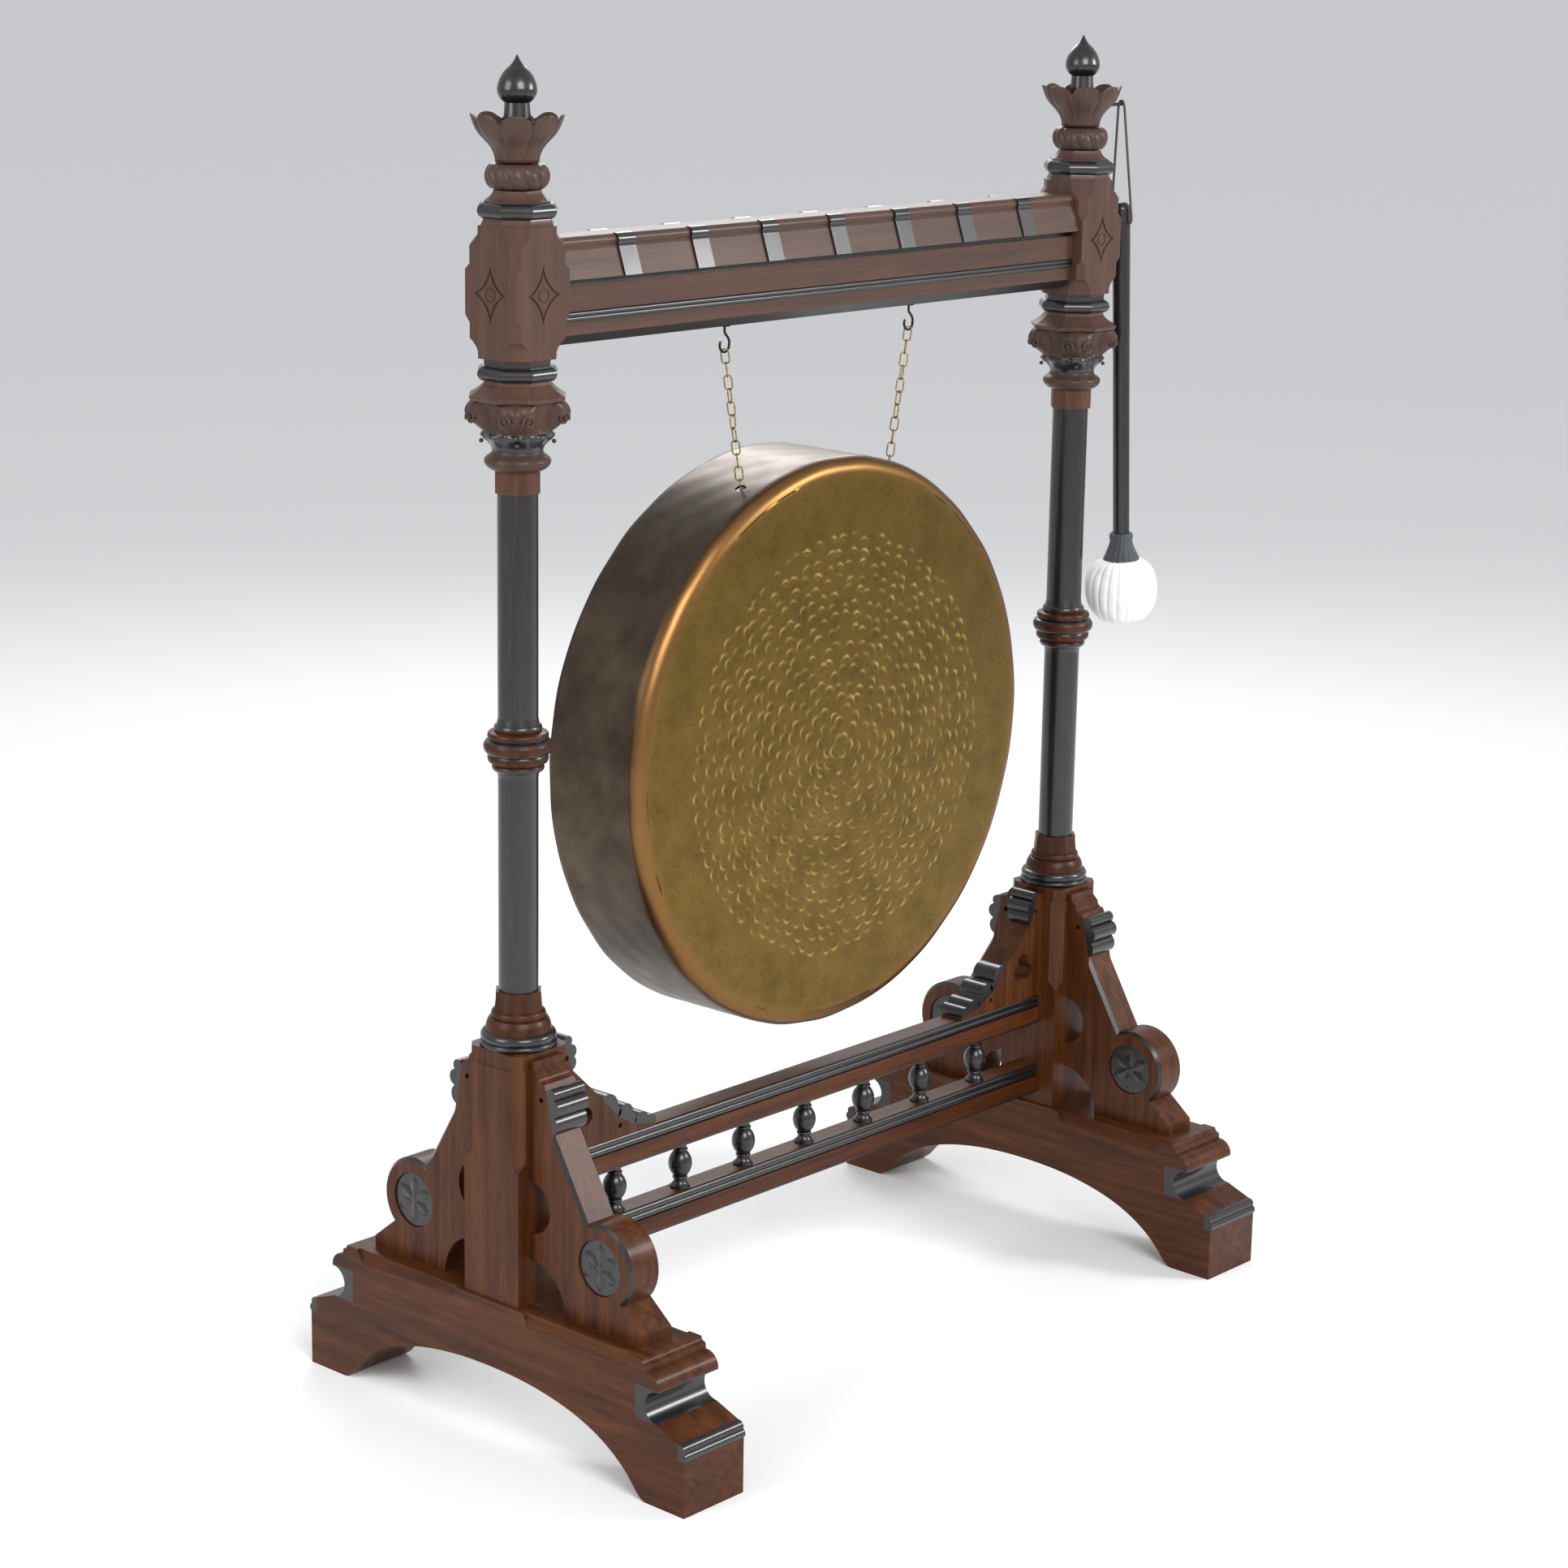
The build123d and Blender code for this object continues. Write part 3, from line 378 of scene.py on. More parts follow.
def plain_metal(name, colour, roughness, spot_size):
    """Cast or drawn metal with uneven tarnish, which breaks its reflections up."""
    material, tree, output = new_material(name)
    where = add_node(tree, "ShaderNodeTexCoord").outputs["Object"]
    tarnish = add_node(
        tree, "ShaderNodeTexNoise", inputs={"Scale": 1 / spot_size, "Detail": 5.0}, links={"Vector": where}
    ).outputs["Fac"]
    stops = [(0.35, tinted(colour, 0.45)), (0.6, tuple(colour))]
    shade = add_node(tree, "ShaderNodeValToRGB", {"stops": stops}, {0: tarnish}).outputs[0]
    rough = add_node(
        tree, "ShaderNodeMapRange",
        inputs={"To Min": roughness + 0.15, "To Max": roughness}, links={"Value": tarnish},
    ).outputs[0]
    shader = add_node(
        tree, "ShaderNodeBsdfPrincipled", inputs={"Metallic": 1.0}, links={"Base Color": shade, "Roughness": rough}
    )
    tree.links.new(shader.outputs[0], output.inputs["Surface"])
    return material


def finished(node_name, material):
    """Give a CAD node's own mesh a better material in all of its slots."""
    obj = cad_object(node_name)
    if not obj.data.materials:
        obj.data.materials.append(material)
    for index in range(len(obj.data.materials)):
        obj.data.materials[index] = material


def cad_object(node_name):
    for obj in bpy.context.scene.objects:
        if obj.get("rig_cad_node") == node_name or obj.name == node_name:
            return obj
    raise RuntimeError(f"no CAD object for {node_name}")


# ---- Gong ----
GONG_CENTRE = Vector((STAND_MIDDLE, 0.0, middle_of("gong").z))
FACE_RADIUS = 337.4 * MM
ROLL_RADIUS = 19 * MM
RIM_FRONT = FACE_RADIUS + ROLL_RADIUS
RIM_BACK = 357.4 * MM
FACE_Y = -46 * MM
DOME = 5 * MM
BACK_Y = 98 * MM
SHEET = 2.5 * MM
GONG_COLUMNS = 840
FACE_ROWS = 241
RIM_ROWS = 22
HAMMERED_SHARE = 0.8  # of the face's radius that carries marks
HOLE_RADIUS = 6.6 * MM


def hammer_marks(radii, depth):
    """Height change and painted highlight for each (row, column) of the face: rings of crescent marks, seeded, the
    highlight painted on each mark's raised lip.
    """
    rng = random.Random(11)
    angles = np.linspace(0, FULL_TURN, GONG_COLUMNS, endpoint=False)
    change = np.zeros((len(radii), GONG_COLUMNS))
    wear = np.zeros((len(radii), GONG_COLUMNS))
    ring = 14 * MM
    while ring < HAMMERED_SHARE * FACE_RADIUS:
        count = max(5, int(FULL_TURN * ring / (21 * MM)))
        for number in range(count):
            angle = FULL_TURN * (number + rng.uniform(-0.3, 0.3)) / count
            radius = ring + rng.uniform(-4, 4) * MM
            strength = rng.uniform(0.35, 1.2)
            size = rng.uniform(0.75, 1.2)
            turn = rng.uniform(-0.5, 0.5)
            away = (angles - angle + math.pi) % FULL_TURN - math.pi
            rows = np.where(np.abs(radii - radius) < 14 * MM)[0]
            columns = np.where(np.abs(away) * radius < 14 * MM)[0]
            if not len(rows) or not len(columns):
                continue
            beside = away[columns][None, :] * radius
            outward = radii[rows][:, None] - radius
            across = beside * math.cos(turn) + outward * math.sin(turn)
            # Each mark is a crescent: its dip bends back along the ring, with a sharp raised edge.
            along = outward * math.cos(turn) - beside * math.sin(turn) + across**2 / (16 * MM * size)
            dip = np.exp(-((along / (3.4 * MM)) ** 2) - (across / (5.2 * MM * size)) ** 2)
            lip = np.exp(-(((along - 4.0 * MM) / (1.5 * MM)) ** 2) - (across / (5.4 * MM * size)) ** 2)
            spot = np.ix_(rows, columns)
            change[spot] += depth * strength * (dip - 0.45 * lip)
            # Painted highlight: each mark's raised lip is marked for bright bronze.
            wear[spot] = np.maximum(wear[spot], strength * lip)
        ring += rng.uniform(15, 18) * MM
    return change, np.minimum(wear, 1)


def gong_mesh(depth):
    """Vertices, faces and the painted lip highlight of the whole gong: face, rolled edge, deep rim and its inside."""
    face = np.linspace(1.5 * MM, FACE_RADIUS, FACE_ROWS)
    outline = [(r, FACE_Y - DOME * (1 - (r / FACE_RADIUS) ** 2)) for r in face]
    roll_end = FACE_Y + ROLL_RADIUS
    outline += arc_points((FACE_RADIUS, roll_end), ROLL_RADIUS, -86, 0, 12)
    along_rim = np.linspace(0.05, 1, RIM_ROWS)
    rim = [(RIM_FRONT + (RIM_BACK - RIM_FRONT) * t, roll_end + (BACK_Y - roll_end) * t) for t in along_rim]
    outline += rim + [(RIM_BACK - SHEET / 2, BACK_Y)] + [(r - SHEET, y) for r, y in reversed(rim)]
    outline += arc_points((FACE_RADIUS, roll_end), ROLL_RADIUS - SHEET, 0, -86, 10)
    back = face[-2::-3]
    outline += [(r, FACE_Y + SHEET - DOME * (1 - (r / FACE_RADIUS) ** 2)) for r in back]
    outline = np.array(outline)
    change = np.zeros((len(outline), GONG_COLUMNS))
    wear = np.zeros((len(outline), GONG_COLUMNS))
    change[: len(face)], wear[: len(face)] = hammer_marks(face, depth)
    change[-len(back) :] = change[: len(face)][-2::-3]
    angles = np.linspace(0, FULL_TURN, GONG_COLUMNS, endpoint=False)
    beaten = 0.5 * MM * (np.sin(5 * angles + 0.4) + 0.6 * np.sin(11 * angles + 2.0) + 0.5 * np.sin(23 * angles))
    on_rim = (outline[:, 0] > FACE_RADIUS)[:, None]
    ripple = np.sin(outline[:, 1] / (7 * MM))[:, None] * np.sin(31 * angles + 0.7)[None, :] * 0.25 * MM
    radius = outline[:, 0][:, None] + (beaten[None, :] - 0.9 * MM + ripple) * on_rim
    x = radius * np.cos(angles)[None, :] + GONG_CENTRE.x
    z = radius * np.sin(angles)[None, :] + GONG_CENTRE.z
    vertices = np.stack([x, outline[:, 1][:, None] + change, z], axis=-1).reshape(-1, 3)
    faces = ring_faces(len(outline), GONG_COLUMNS)
    last = (len(outline) - 1) * GONG_COLUMNS
    front_pole, back_pole = len(vertices), len(vertices) + 1
    vertices = np.vstack([vertices, [
        (GONG_CENTRE.x, FACE_Y - DOME, GONG_CENTRE.z),
        (GONG_CENTRE.x, FACE_Y - DOME + SHEET, GONG_CENTRE.z),
    ]])
    for column in range(GONG_COLUMNS):
        after = (column + 1) % GONG_COLUMNS
        faces.append((column, front_pole, after))
        faces.append((last + column, last + after, back_pole))
    return vertices, faces, np.append(wear.ravel(), (0, 0))


def hammered_bronze(colours):
    """Beaten bronze: olive brown skin, a painted highlight of bright bronze on the raised lips of the
    hammer marks, a painted coppery highlight along the rolled edge, and dull brown on the rim."""
    material, tree, output = new_material("hammered_bronze")
    where = add_node(tree, "ShaderNodeTexCoord").outputs["Object"]
    local = add_node(tree, "ShaderNodeVectorMath", {"operation": "SUBTRACT"}, links={0: where})
    local.inputs[1].default_value = GONG_CENTRE
    flat = add_node(tree, "ShaderNodeVectorMath", {"operation": "MULTIPLY"}, links={0: local.outputs[0]})
    flat.inputs[1].default_value = (1, 0, 1)
    radius = add_node(tree, "ShaderNodeVectorMath", {"operation": "LENGTH"}, links={0: flat.outputs[0]})
    radius = radius.outputs["Value"]
    depth = add_node(tree, "ShaderNodeSeparateXYZ", links={"Vector": where}).outputs["Y"]
    patina = add_node(
        tree, "ShaderNodeTexNoise", inputs={"Scale": 1 / 0.05, "Detail": 6.0, "Roughness": 0.62},
        links={"Vector": where},
    ).outputs["Fac"]
    speck = add_node(
        tree, "ShaderNodeTexNoise", inputs={"Scale": 1 / 0.006, "Detail": 4.0}, links={"Vector": where}
    ).outputs["Fac"]
    stops = [(0.3, tinted(colours.bronze, 0.74)), (0.52, tuple(colours.bronze)), (0.72, tinted(colours.bronze, 1.18))]
    skin = add_node(tree, "ShaderNodeValToRGB", {"stops": stops}, {0: patina}).outputs[0]
    stops = [(0.34, (0.86, 0.84, 0.8, 1)), (0.5, (1, 1, 1, 1))]
    pitted = add_node(tree, "ShaderNodeValToRGB", {"stops": stops}, {0: speck}).outputs[0]
    specked = add_node(tree, "ShaderNodeMix", TINT, {FACTOR: 1.0, FIRST: skin, SECOND: pitted}).outputs[MIXED]
    # Painted highlight: a coppery band along the rolled edge, where light catches it.
    on_roll = add_node(
        tree, "ShaderNodeMapRange", {"interpolation_type": "SMOOTHSTEP"},
        inputs={"From Min": FACE_RADIUS - 14 * MM, "From Max": FACE_RADIUS + 14 * MM}, links={"Value": radius},
    ).outputs[0]
    # Painted highlight of bright bronze on the raised lips of the hammer marks.
    worn = add_node(tree, "ShaderNodeAttribute", {"attribute_name": "wear"}).outputs["Fac"]
    bright = add_node(tree, "ShaderNodeMath", {"operation": "MULTIPLY"}, {0: worn, 1: 0.75}).outputs[0]
    crested = add_node(
        tree, "ShaderNodeMix", BLEND, {FACTOR: bright, FIRST: specked, SECOND: tuple(colours.bronze_lip_highlight)}
    ).outputs[MIXED]
    painted_edge_share = add_node(tree, "ShaderNodeMath", {"operation": "MULTIPLY"}, {0: on_roll, 1: 0.85}).outputs[0]
    rolled = add_node(
        tree, "ShaderNodeMix", BLEND, {FACTOR: painted_edge_share, FIRST: crested, SECOND: tuple(colours.bronze_roll_highlight)}
    ).outputs[MIXED]
    on_rim = add_node(
        tree, "ShaderNodeMapRange", {"interpolation_type": "SMOOTHSTEP"},
        inputs={"From Min": FACE_Y + 4 * MM, "From Max": FACE_Y + 20 * MM}, links={"Value": depth},
    ).outputs[0]
    stops = [(0.35, tuple(colours.bronze_dark)), (0.7, tinted(colours.bronze_dark, 1.8))]
    rim = add_node(tree, "ShaderNodeValToRGB", {"stops": stops}, {0: patina}).outputs[0]
    colour = add_node(tree, "ShaderNodeMix", BLEND, {FACTOR: on_rim, FIRST: rolled, SECOND: rim}).outputs[MIXED]
    rough = add_node(
        tree, "ShaderNodeMapRange", inputs={"To Min": 0.42, "To Max": 0.3}, links={"Value": patina}
    ).outputs[0]
    bump = add_node(
        tree, "ShaderNodeBump", inputs={"Strength": 0.2, "Distance": 0.0004}, links={"Height": speck}
    ).outputs[0]
    shader = add_node(
        tree, "ShaderNodeBsdfPrincipled", inputs={"Metallic": 1.0},
        links={"Base Color": colour, "Roughness": rough, "Normal": bump},
    )
    tree.links.new(shader.outputs[0], output.inputs["Surface"])
    return material


def cut_chain_holes(obj):
    """Bore the two holes in the rim that the chains' last links pass through."""
    for side in ("left", "right"):
        pin = middle_of(f"{side}_toggle")
        out = (pin - GONG_CENTRE).normalized()
        bpy.ops.mesh.primitive_cylinder_add(
            vertices=40, radius=HOLE_RADIUS, depth=16 * MM, location=pin + out * 4 * MM,
            rotation=out.to_track_quat("Z", "Y").to_euler(),
        )
        cutter = bpy.context.object
        cut = obj.modifiers.new("hole", "BOOLEAN")
        cut.operation = "DIFFERENCE"
        cut.object = cutter
        cut.solver = "EXACT"
        bpy.context.view_layer.objects.active = obj
        with bpy.context.temp_override(object=obj, active_object=obj):
            bpy.ops.object.modifier_apply(modifier=cut.name)
        bpy.data.objects.remove(cutter)


class GongOperator(bpy.types.Operator):
    """Make the hammered gong."""

    bl_idname = "gong_stand.gong"
    bl_label = "Gong"

    def execute(self, context):
        settings = context.scene
        vertices, faces, wear = gong_mesh(settings.gong_stand_sizes.hammer_depth)
        bronze = hammered_bronze(settings.gong_stand_colours)
        gong = piece("hammered_gong", vertices, faces, bronze, "gong_body", "gong_bronze", "gong")
        # The painted lip highlight rides on the mesh as a point attribute.
        gong.data.attributes.new("wear", "FLOAT", "POINT").data.foreach_set("value", wear)
        cut_chain_holes(gong)
        return {"FINISHED"}


# ---- Leaf cups ----
PETALS = 8
CUP_COLUMNS = PETALS * 32
OUTSIDE_ROWS = 14  # of the section, from the foot up to the rim


def leaf_cup(side, notch):
    """A tulip-shaped cup of eight broad leaves that lie over each other at their edges."""
    low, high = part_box(f"{side}_leaf_cup")
    base, rim = low.z, high.z
    outline = [(6 * MM, base), (24.2 * MM, base)]
    outline += [(r * MM, base + z * MM) for r, z in (
        (24.6, 4), (25.8, 9), (28.4, 14.5), (32.6, 20), (37.4, 25), (41.6, 29.5), (45.0, 34.5), (47.6, 40),
        (49.4, 45.5), (50.4, 49.5), (50.7, 51.4), (50.0, 52.2), (48.6, 51.9), (47.2, 50.2), (45.6, 46),
        (43, 40), (39, 33.5), (33.5, 27), (27, 21), (21, 17), (15.2, 15.5), (6, 15))]
    height = rim - base

    def leaves(radius, level, angle, row):
        rise = max(0.0, min(1.0, (level - base) / height))
        phase = (angle * PETALS / FULL_TURN + 0.5) % 1.0  # 0.5 along a leaf's middle
        beside = abs(phase - 0.5) * 2
        outside = row < OUTSIDE_ROWS
        seam = math.exp(-(((1 - beside) / 0.12) ** 2))
        rib = math.exp(-((beside / 0.13) ** 2))
        sweep = math.sin(2.5 * math.pi * (beside + 0.35 * rise)) * math.sin(math.pi * min(1, rise * 1.05))
        puff = 1 - beside**2
        drop = notch * rise**4 * beside**2.2
        if not outside:
            return radius, level - drop * rise
        radius += MM * rise * (1.6 * puff - 1.4 - 3.4 * seam + 0.8 * rib - 0.7 * sweep)
        return radius, level - drop

    vertices, faces = closed_revolution(outline, CUP_COLUMNS, leaves)
    place = Vector((POSTS[side], 0, 0))
    return [Vector(v) + place for v in vertices], faces


# ---- Rope rings ----
ROPE_STRANDS = 12


def rope_ring(side, groove):
    """A ring carved as a rope, its strands running slantwise round it."""
    low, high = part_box(f"{side}_rope_ring")
    outer = (high.x - low.x) / 2
    half = (high.z - low.z) / 2
    middle = (high.z + low.z) / 2
    vertices, columns, rows = [], ROPE_STRANDS * 20, 40
    for row in range(rows):
        around = FULL_TURN * row / rows
        for column in range(columns):
            angle = FULL_TURN * column / columns
            strand = abs(math.sin((ROPE_STRANDS * angle + 2.1 * math.sin(around)) / 2))
            rounded = strand**0.55
            out = max(0.0, math.cos(around))
            shrink = groove * (1 - rounded) * (0.25 + 0.75 * out)
            minor_r = outer - 24 * MM - shrink
            flat = half - 1.2 * MM if abs(math.sin(around)) > 0.9 else half
            radius = 24 * MM + minor_r * math.cos(around)
            level = middle + (flat - 0.5 * shrink) * math.sin(around)
            vertices.append((POSTS[side] + radius * math.cos(angle), radius * math.sin(angle), level))
    faces = []
    for row in range(rows):
        following = (row + 1) % rows
        for column in range(columns):
            after = (column + 1) % columns
            here, there = row * columns, following * columns
            faces.append((here + column, here + after, there + after, there + column))
    return vertices, faces


# ---- Capitals ----
CAPITAL_COLUMNS = 384
# (radius, height) of the turned bell, from its foot up; the corner leaves stand out from its top part.
BELL = [
    (6, 0), (26.5, 0), (29, 1), (33, 3.5), (36, 6.5), (37.4, 9.5), (37.5, 11.5), (36.6, 14), (34.3, 16.5),
    (31, 18.5), (29, 21), (28.7, 23), (29.4, 26), (31.4, 29.5), (34.4, 33), (37.4, 36), (39.6, 38.5),
    (40.6, 40.5), (39.8, 42.6), (37.9, 44.4), (37.4, 46.5), (37.5, 50), (37.7, 54), (38, 58), (38.5, 62),
    (39.6, 66), (41.4, 70), (43.4, 74), (44.8, 77), (45.8, 80), (6, 80),
]
# (reach, height) of a corner leaf along the diagonal.
CORNER_LEAF = [(39, 44.5), (43.5, 48.5), (49, 53), (54, 57.5), (57, 61.5), (58, 66), (57.4, 71), (54.6, 76), (50, 80)]
LEAF_MIDDLE = 37.0
LEAF_ROUND = 21.0


def capital(side):
    """The bell with its lower ring of small leaves and a broad curled leaf at each corner."""
    reaches, heights = zip(*CORNER_LEAF)
    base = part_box(f"{side}_capital")[0].z

    def carved(radius, level, angle, row):
        r, z = radius / MM, (level - base) / MM
        off = angle % (math.pi / 2) - math.pi / 4
        if z > heights[0] and r > 20:
            across = LEAF_MIDDLE * math.sin(off)
            if abs(across) < LEAF_ROUND:
                plan = LEAF_MIDDLE * math.cos(off) + math.sqrt(LEAF_ROUND**2 - across**2) - LEAF_MIDDLE
                lobe = max(0.0, plan / LEAF_ROUND)
                out = float(np.interp(z, heights, reaches))
                rib = 1.1 * math.exp(-((off / 0.05) ** 2))
                rib -= 1.5 * math.exp(-(((abs(off) - 0.13) / 0.05) ** 2))
                r += max(0.0, out - r) * lobe + rib * lobe * math.sin(math.pi * min(1, (z - 44) / 34))
        if 22 < z < 80 and r > 20:
            leaf = math.exp(-(((z - 39) / 5.5) ** 2))
            r += 1.9 * math.cos(8 * angle) * leaf - 0.9 * (1 - abs(math.sin(8 * angle))) ** 2 * leaf
            vein = (1 - abs(math.sin(10 * angle + 0.16 * (z - 50)))) ** 3
            r -= 0.9 * vein * math.sin(math.pi * (z - 22) / 58)
        return r * MM, level

    outline = [(r * MM, base + z * MM) for r, z in BELL]
    vertices, faces = closed_revolution(outline, CAPITAL_COLUMNS, carved)
    for quarter in range(4):
        turn = Matrix.Rotation(math.pi / 4 + quarter * math.pi / 2, 4, "Z")
        corner = Matrix.Translation((0, 0, base)) @ turn @ Matrix.Scale(MM, 4)
        for hand in (1, -1):
            for part in (scroll(hand), bead((52.6, 13.6 * hand, 60.5), 2.5)):
                join(vertices, faces, *part, corner)
        join(vertices, faces, *bead((40.5, 0, 33), 2.6), corner)
    place = Vector((POSTS[side], 0, 0))
    return [Vector(v) + place for v in vertices], faces


def join(vertices, faces, more_vertices, more_faces, place):
    """Add one closed shell to another piece's vertices and faces."""
    first = len(vertices)
    vertices.extend(tuple(place @ Vector(v)) for v in more_vertices)
    faces.extend(tuple(first + index for index in face) for face in more_faces)


def tube(points, radii, outward, side_way, sides=12):
    """A closed tube through points, whose rings lie in the plane of outward[i] and side_way."""
    vertices = []
    for point, radius, out in zip(points, radii, outward):
        for k in range(sides):
            angle = FULL_TURN * k / sides
            vertices.append(point + radius * (math.cos(angle) * out + math.sin(angle) * side_way))
    faces = ring_faces(len(points), sides)
    last = (len(points) - 1) * sides
    faces += [tuple(range(sides)), tuple(reversed(range(last, last + sides)))]
    return vertices, faces


def scroll(hand):
    """A curled leaf edge at one side of a corner leaf, in millimetres."""
    facing = Vector((0.76, 0.65 * hand, 0)).normalized()
    level = Vector((-facing.y, facing.x, 0)) * hand
    up = Vector((0, 0, 1))
    middle = Vector((50.8, 13.0 * hand, 60.5))
    points, radii, outward = [], [], []
    for step in range(34):
        t = step / 33
        angle = math.radians(200 - 470 * t)
        out = math.cos(angle) * level + math.sin(angle) * up
        points.append(middle + (8.2 - 5.6 * t) * out + (0.4 + 1.6 * t) * facing)
        radii.append(2.3 - 1.0 * t)
        outward.append(out)
    return tube(points, radii, outward, facing)


def bead(middle, radius):
    """A small carved bead, in millimetres."""
    up, along, across = Vector((0, 0, 1)), Vector((1, 0, 0)), Vector((0, 1, 0))
    angles = [math.pi * (step + 0.5) / 8 for step in range(8)]
    points = [Vector(middle) - radius * math.cos(a) * up for a in angles]
    radii = [radius * math.sin(a) for a in angles]
    return tube(points, radii, [along] * len(points), across)


# ---- Rosettes ----
ROSETTE_RADIUS = 33.3
ROSETTE_PETALS = 6


def rosette():
    """A sunk disc with a pointed six-petalled flower, as (radius, angle) height in millimetres."""
    radii = np.concatenate([np.linspace(0.8, 31.5, 42), [32.4, ROSETTE_RADIUS]])
    columns = ROSETTE_PETALS * 26
    vertices = []
    for radius in radii:
        for column in range(columns):
            angle = FULL_TURN * column / columns
            off = (angle + math.pi / ROSETTE_PETALS) % (FULL_TURN / ROSETTE_PETALS) - math.pi / ROSETTE_PETALS
            beside, along = abs(radius * math.sin(off)), radius * math.cos(off)
            width = 7.4 * math.sin(math.pi * min(1, max(0, (along - 1.5) / 28))) ** 0.8
            height = 0.7
            if width > 0.1 and beside < width:
                height += 1.9 * (1 - beside / width) ** 0.7 * min(1, (30 - along) / 6)
            if radius < 5.5:
                height = max(height, 2.0 + 0.8 * (1 - (radius / 5.5) ** 2))
            vertices.append(Vector((height, radius * math.sin(angle), radius * math.cos(angle))))
    rows = len(radii) + 1
    vertices += [Vector((0, v.y, v.z)) for v in vertices[-columns:]]
    faces = ring_faces(rows, columns)
    faces += [tuple(range(columns)), tuple(range((rows - 1) * columns, rows * columns))]
    return vertices, faces


class CarvingOperator(bpy.types.Operator):
    """Make the carved capitals and the rosettes in the brackets."""

    bl_idname = "gong_stand.carving"
    bl_label = "Capitals and rosettes"

    def execute(self, context):
        colours = context.scene.gong_stand_colours
        # The carved capital gets a share of painted glare, a grey haze standing in for light glancing off it.
        dark = stained_oak("carved_dark_oak", colours, "Z", [{"z": (1168 * MM, 1190 * MM)}], shade=0.5, painted_glare=0.1)
        black = ebonised_wood("ebonised_rosette", colours, "Z")
        for side, post in POSTS.items():
            piece(f"{side}_carved_capital", *capital(side), dark, "stand", "ebonised_wood", f"{side}_capital")
            low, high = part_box(f"{side}_roundels")
            floor = (high.x - low.x) / 2 - 2.6 * MM
            vertices, faces = [], []
            for face in (1, -1):
                for end in (1, -1):
                    centre = Vector((post + face * floor, end * (high.y - ROSETTE_RADIUS * MM), (low.z + high.z) / 2))
                    place = Matrix.Translation(centre) @ Matrix.Diagonal((face * MM, MM, MM, 1))
                    join(vertices, faces, *rosette(), place)
            piece(f"{side}_rosettes", vertices, faces, black, "stand", "ebonised_wood", f"{side}_roundels")
        return {"FINISHED"}


class LeafCupsOperator(bpy.types.Operator):
    """Make the carved leaf cups and rope rings under the finials."""

    bl_idname = "gong_stand.leaf_cups"
    bl_label = "Leaf cups and rope rings"

    def execute(self, context):
        settings = context.scene
        # The cups and rope rings get a share of painted glare, a grey haze standing in for light glancing off them.
        oak = stained_oak("carved_cup_oak", settings.gong_stand_colours, "Z", shade=0.5, painted_glare=0.12)
        for side in POSTS:
            cup = leaf_cup(side, settings.gong_stand_sizes.petal_notch)
            piece(f"{side}_carved_cup", *cup, oak, "stand", "oak", f"{side}_leaf_cup")
            rope = rope_ring(side, settings.gong_stand_sizes.strand_depth)
            piece(f"{side}_carved_rope", *rope, oak, "stand", "oak", f"{side}_rope_ring")
        return {"FINISHED"}


# ---- Beater ----
HEAD_FOLDS = 22


def in_beater_frame(vertices):
    return [BEATER_FRAME @ Vector(v) for v in vertices]


def fold_depths(count, seed):
    """Uneven depths of gathered folds, between 0.55 and 1.2."""
    rng = random.Random(seed)
    return [rng.uniform(0.55, 1.2) for _ in range(count)]


def folds_at(angle, depths):
    """How deep the cloth is drawn in at an angle: sharp creases between rounded folds."""
    where = (angle / FULL_TURN * len(depths)) % len(depths)
    number = int(where)
    crease = abs(where - number - 0.5) * 2
    edge = depths[number] if where - number > 0.5 else depths[number - 1]
    return (depths[number] + edge) / 2 * crease**3


def pad_mesh(fold):
    """The pad: a full round bag, gathered in folds at its neck and loosely again underneath."""
    depths = fold_depths(HEAD_FOLDS, 5)
    neck, low = -476 * MM, -562 * MM
    outline = [(11 * MM, neck), (20 * MM, neck)]
    outline += [(r * MM, neck - d * MM) for r, d in (
        (27, 0.8), (33.5, 3.2), (39.5, 8), (44.3, 15), (47.3, 23), (48.9, 32), (49.3, 40),
        (48.8, 49), (47, 58), (43.6, 67), (38, 75.5), (30.5, 81.8), (22, 85), (12, 85.6), (4, 84.8))]

    def folded(radius, level, angle, row):
        down = (neck - level) / (neck - low)
        gather = (1 - down) ** 1.1 + 0.55 * down**3 + 0.22
        sway = 0.6 * MM * math.sin(3 * angle + 4 * down) * (radius > 20 * MM)
        pull = fold * folds_at(angle + 0.10 * down, depths) * gather * min(1, radius / (24 * MM))
        return radius - pull + sway - 0.5 * MM, level + 0.35 * pull * (1 - 2 * down)

    columns = HEAD_FOLDS * 16
    rows = len(outline)
    vertices, faces = [], []
    for row, (radius, level) in enumerate(outline):
        for column in range(columns):
            angle = FULL_TURN * column / columns
            r, h = folded(radius, level, angle, row)
            vertices.append((r * math.cos(angle), r * math.sin(angle), h))
    faces = ring_faces(rows, columns)
    bottom, top = len(vertices), len(vertices) + 1
    vertices += [(0, 0, outline[-1][1] + 0.6 * MM), (0, 0, neck)]
    last = (rows - 1) * columns
    for column in range(columns):
        after = (column + 1) % columns
        faces.append((last + column, bottom, last + after))
        faces.append((column, after, top))
    return in_beater_frame(vertices), faces


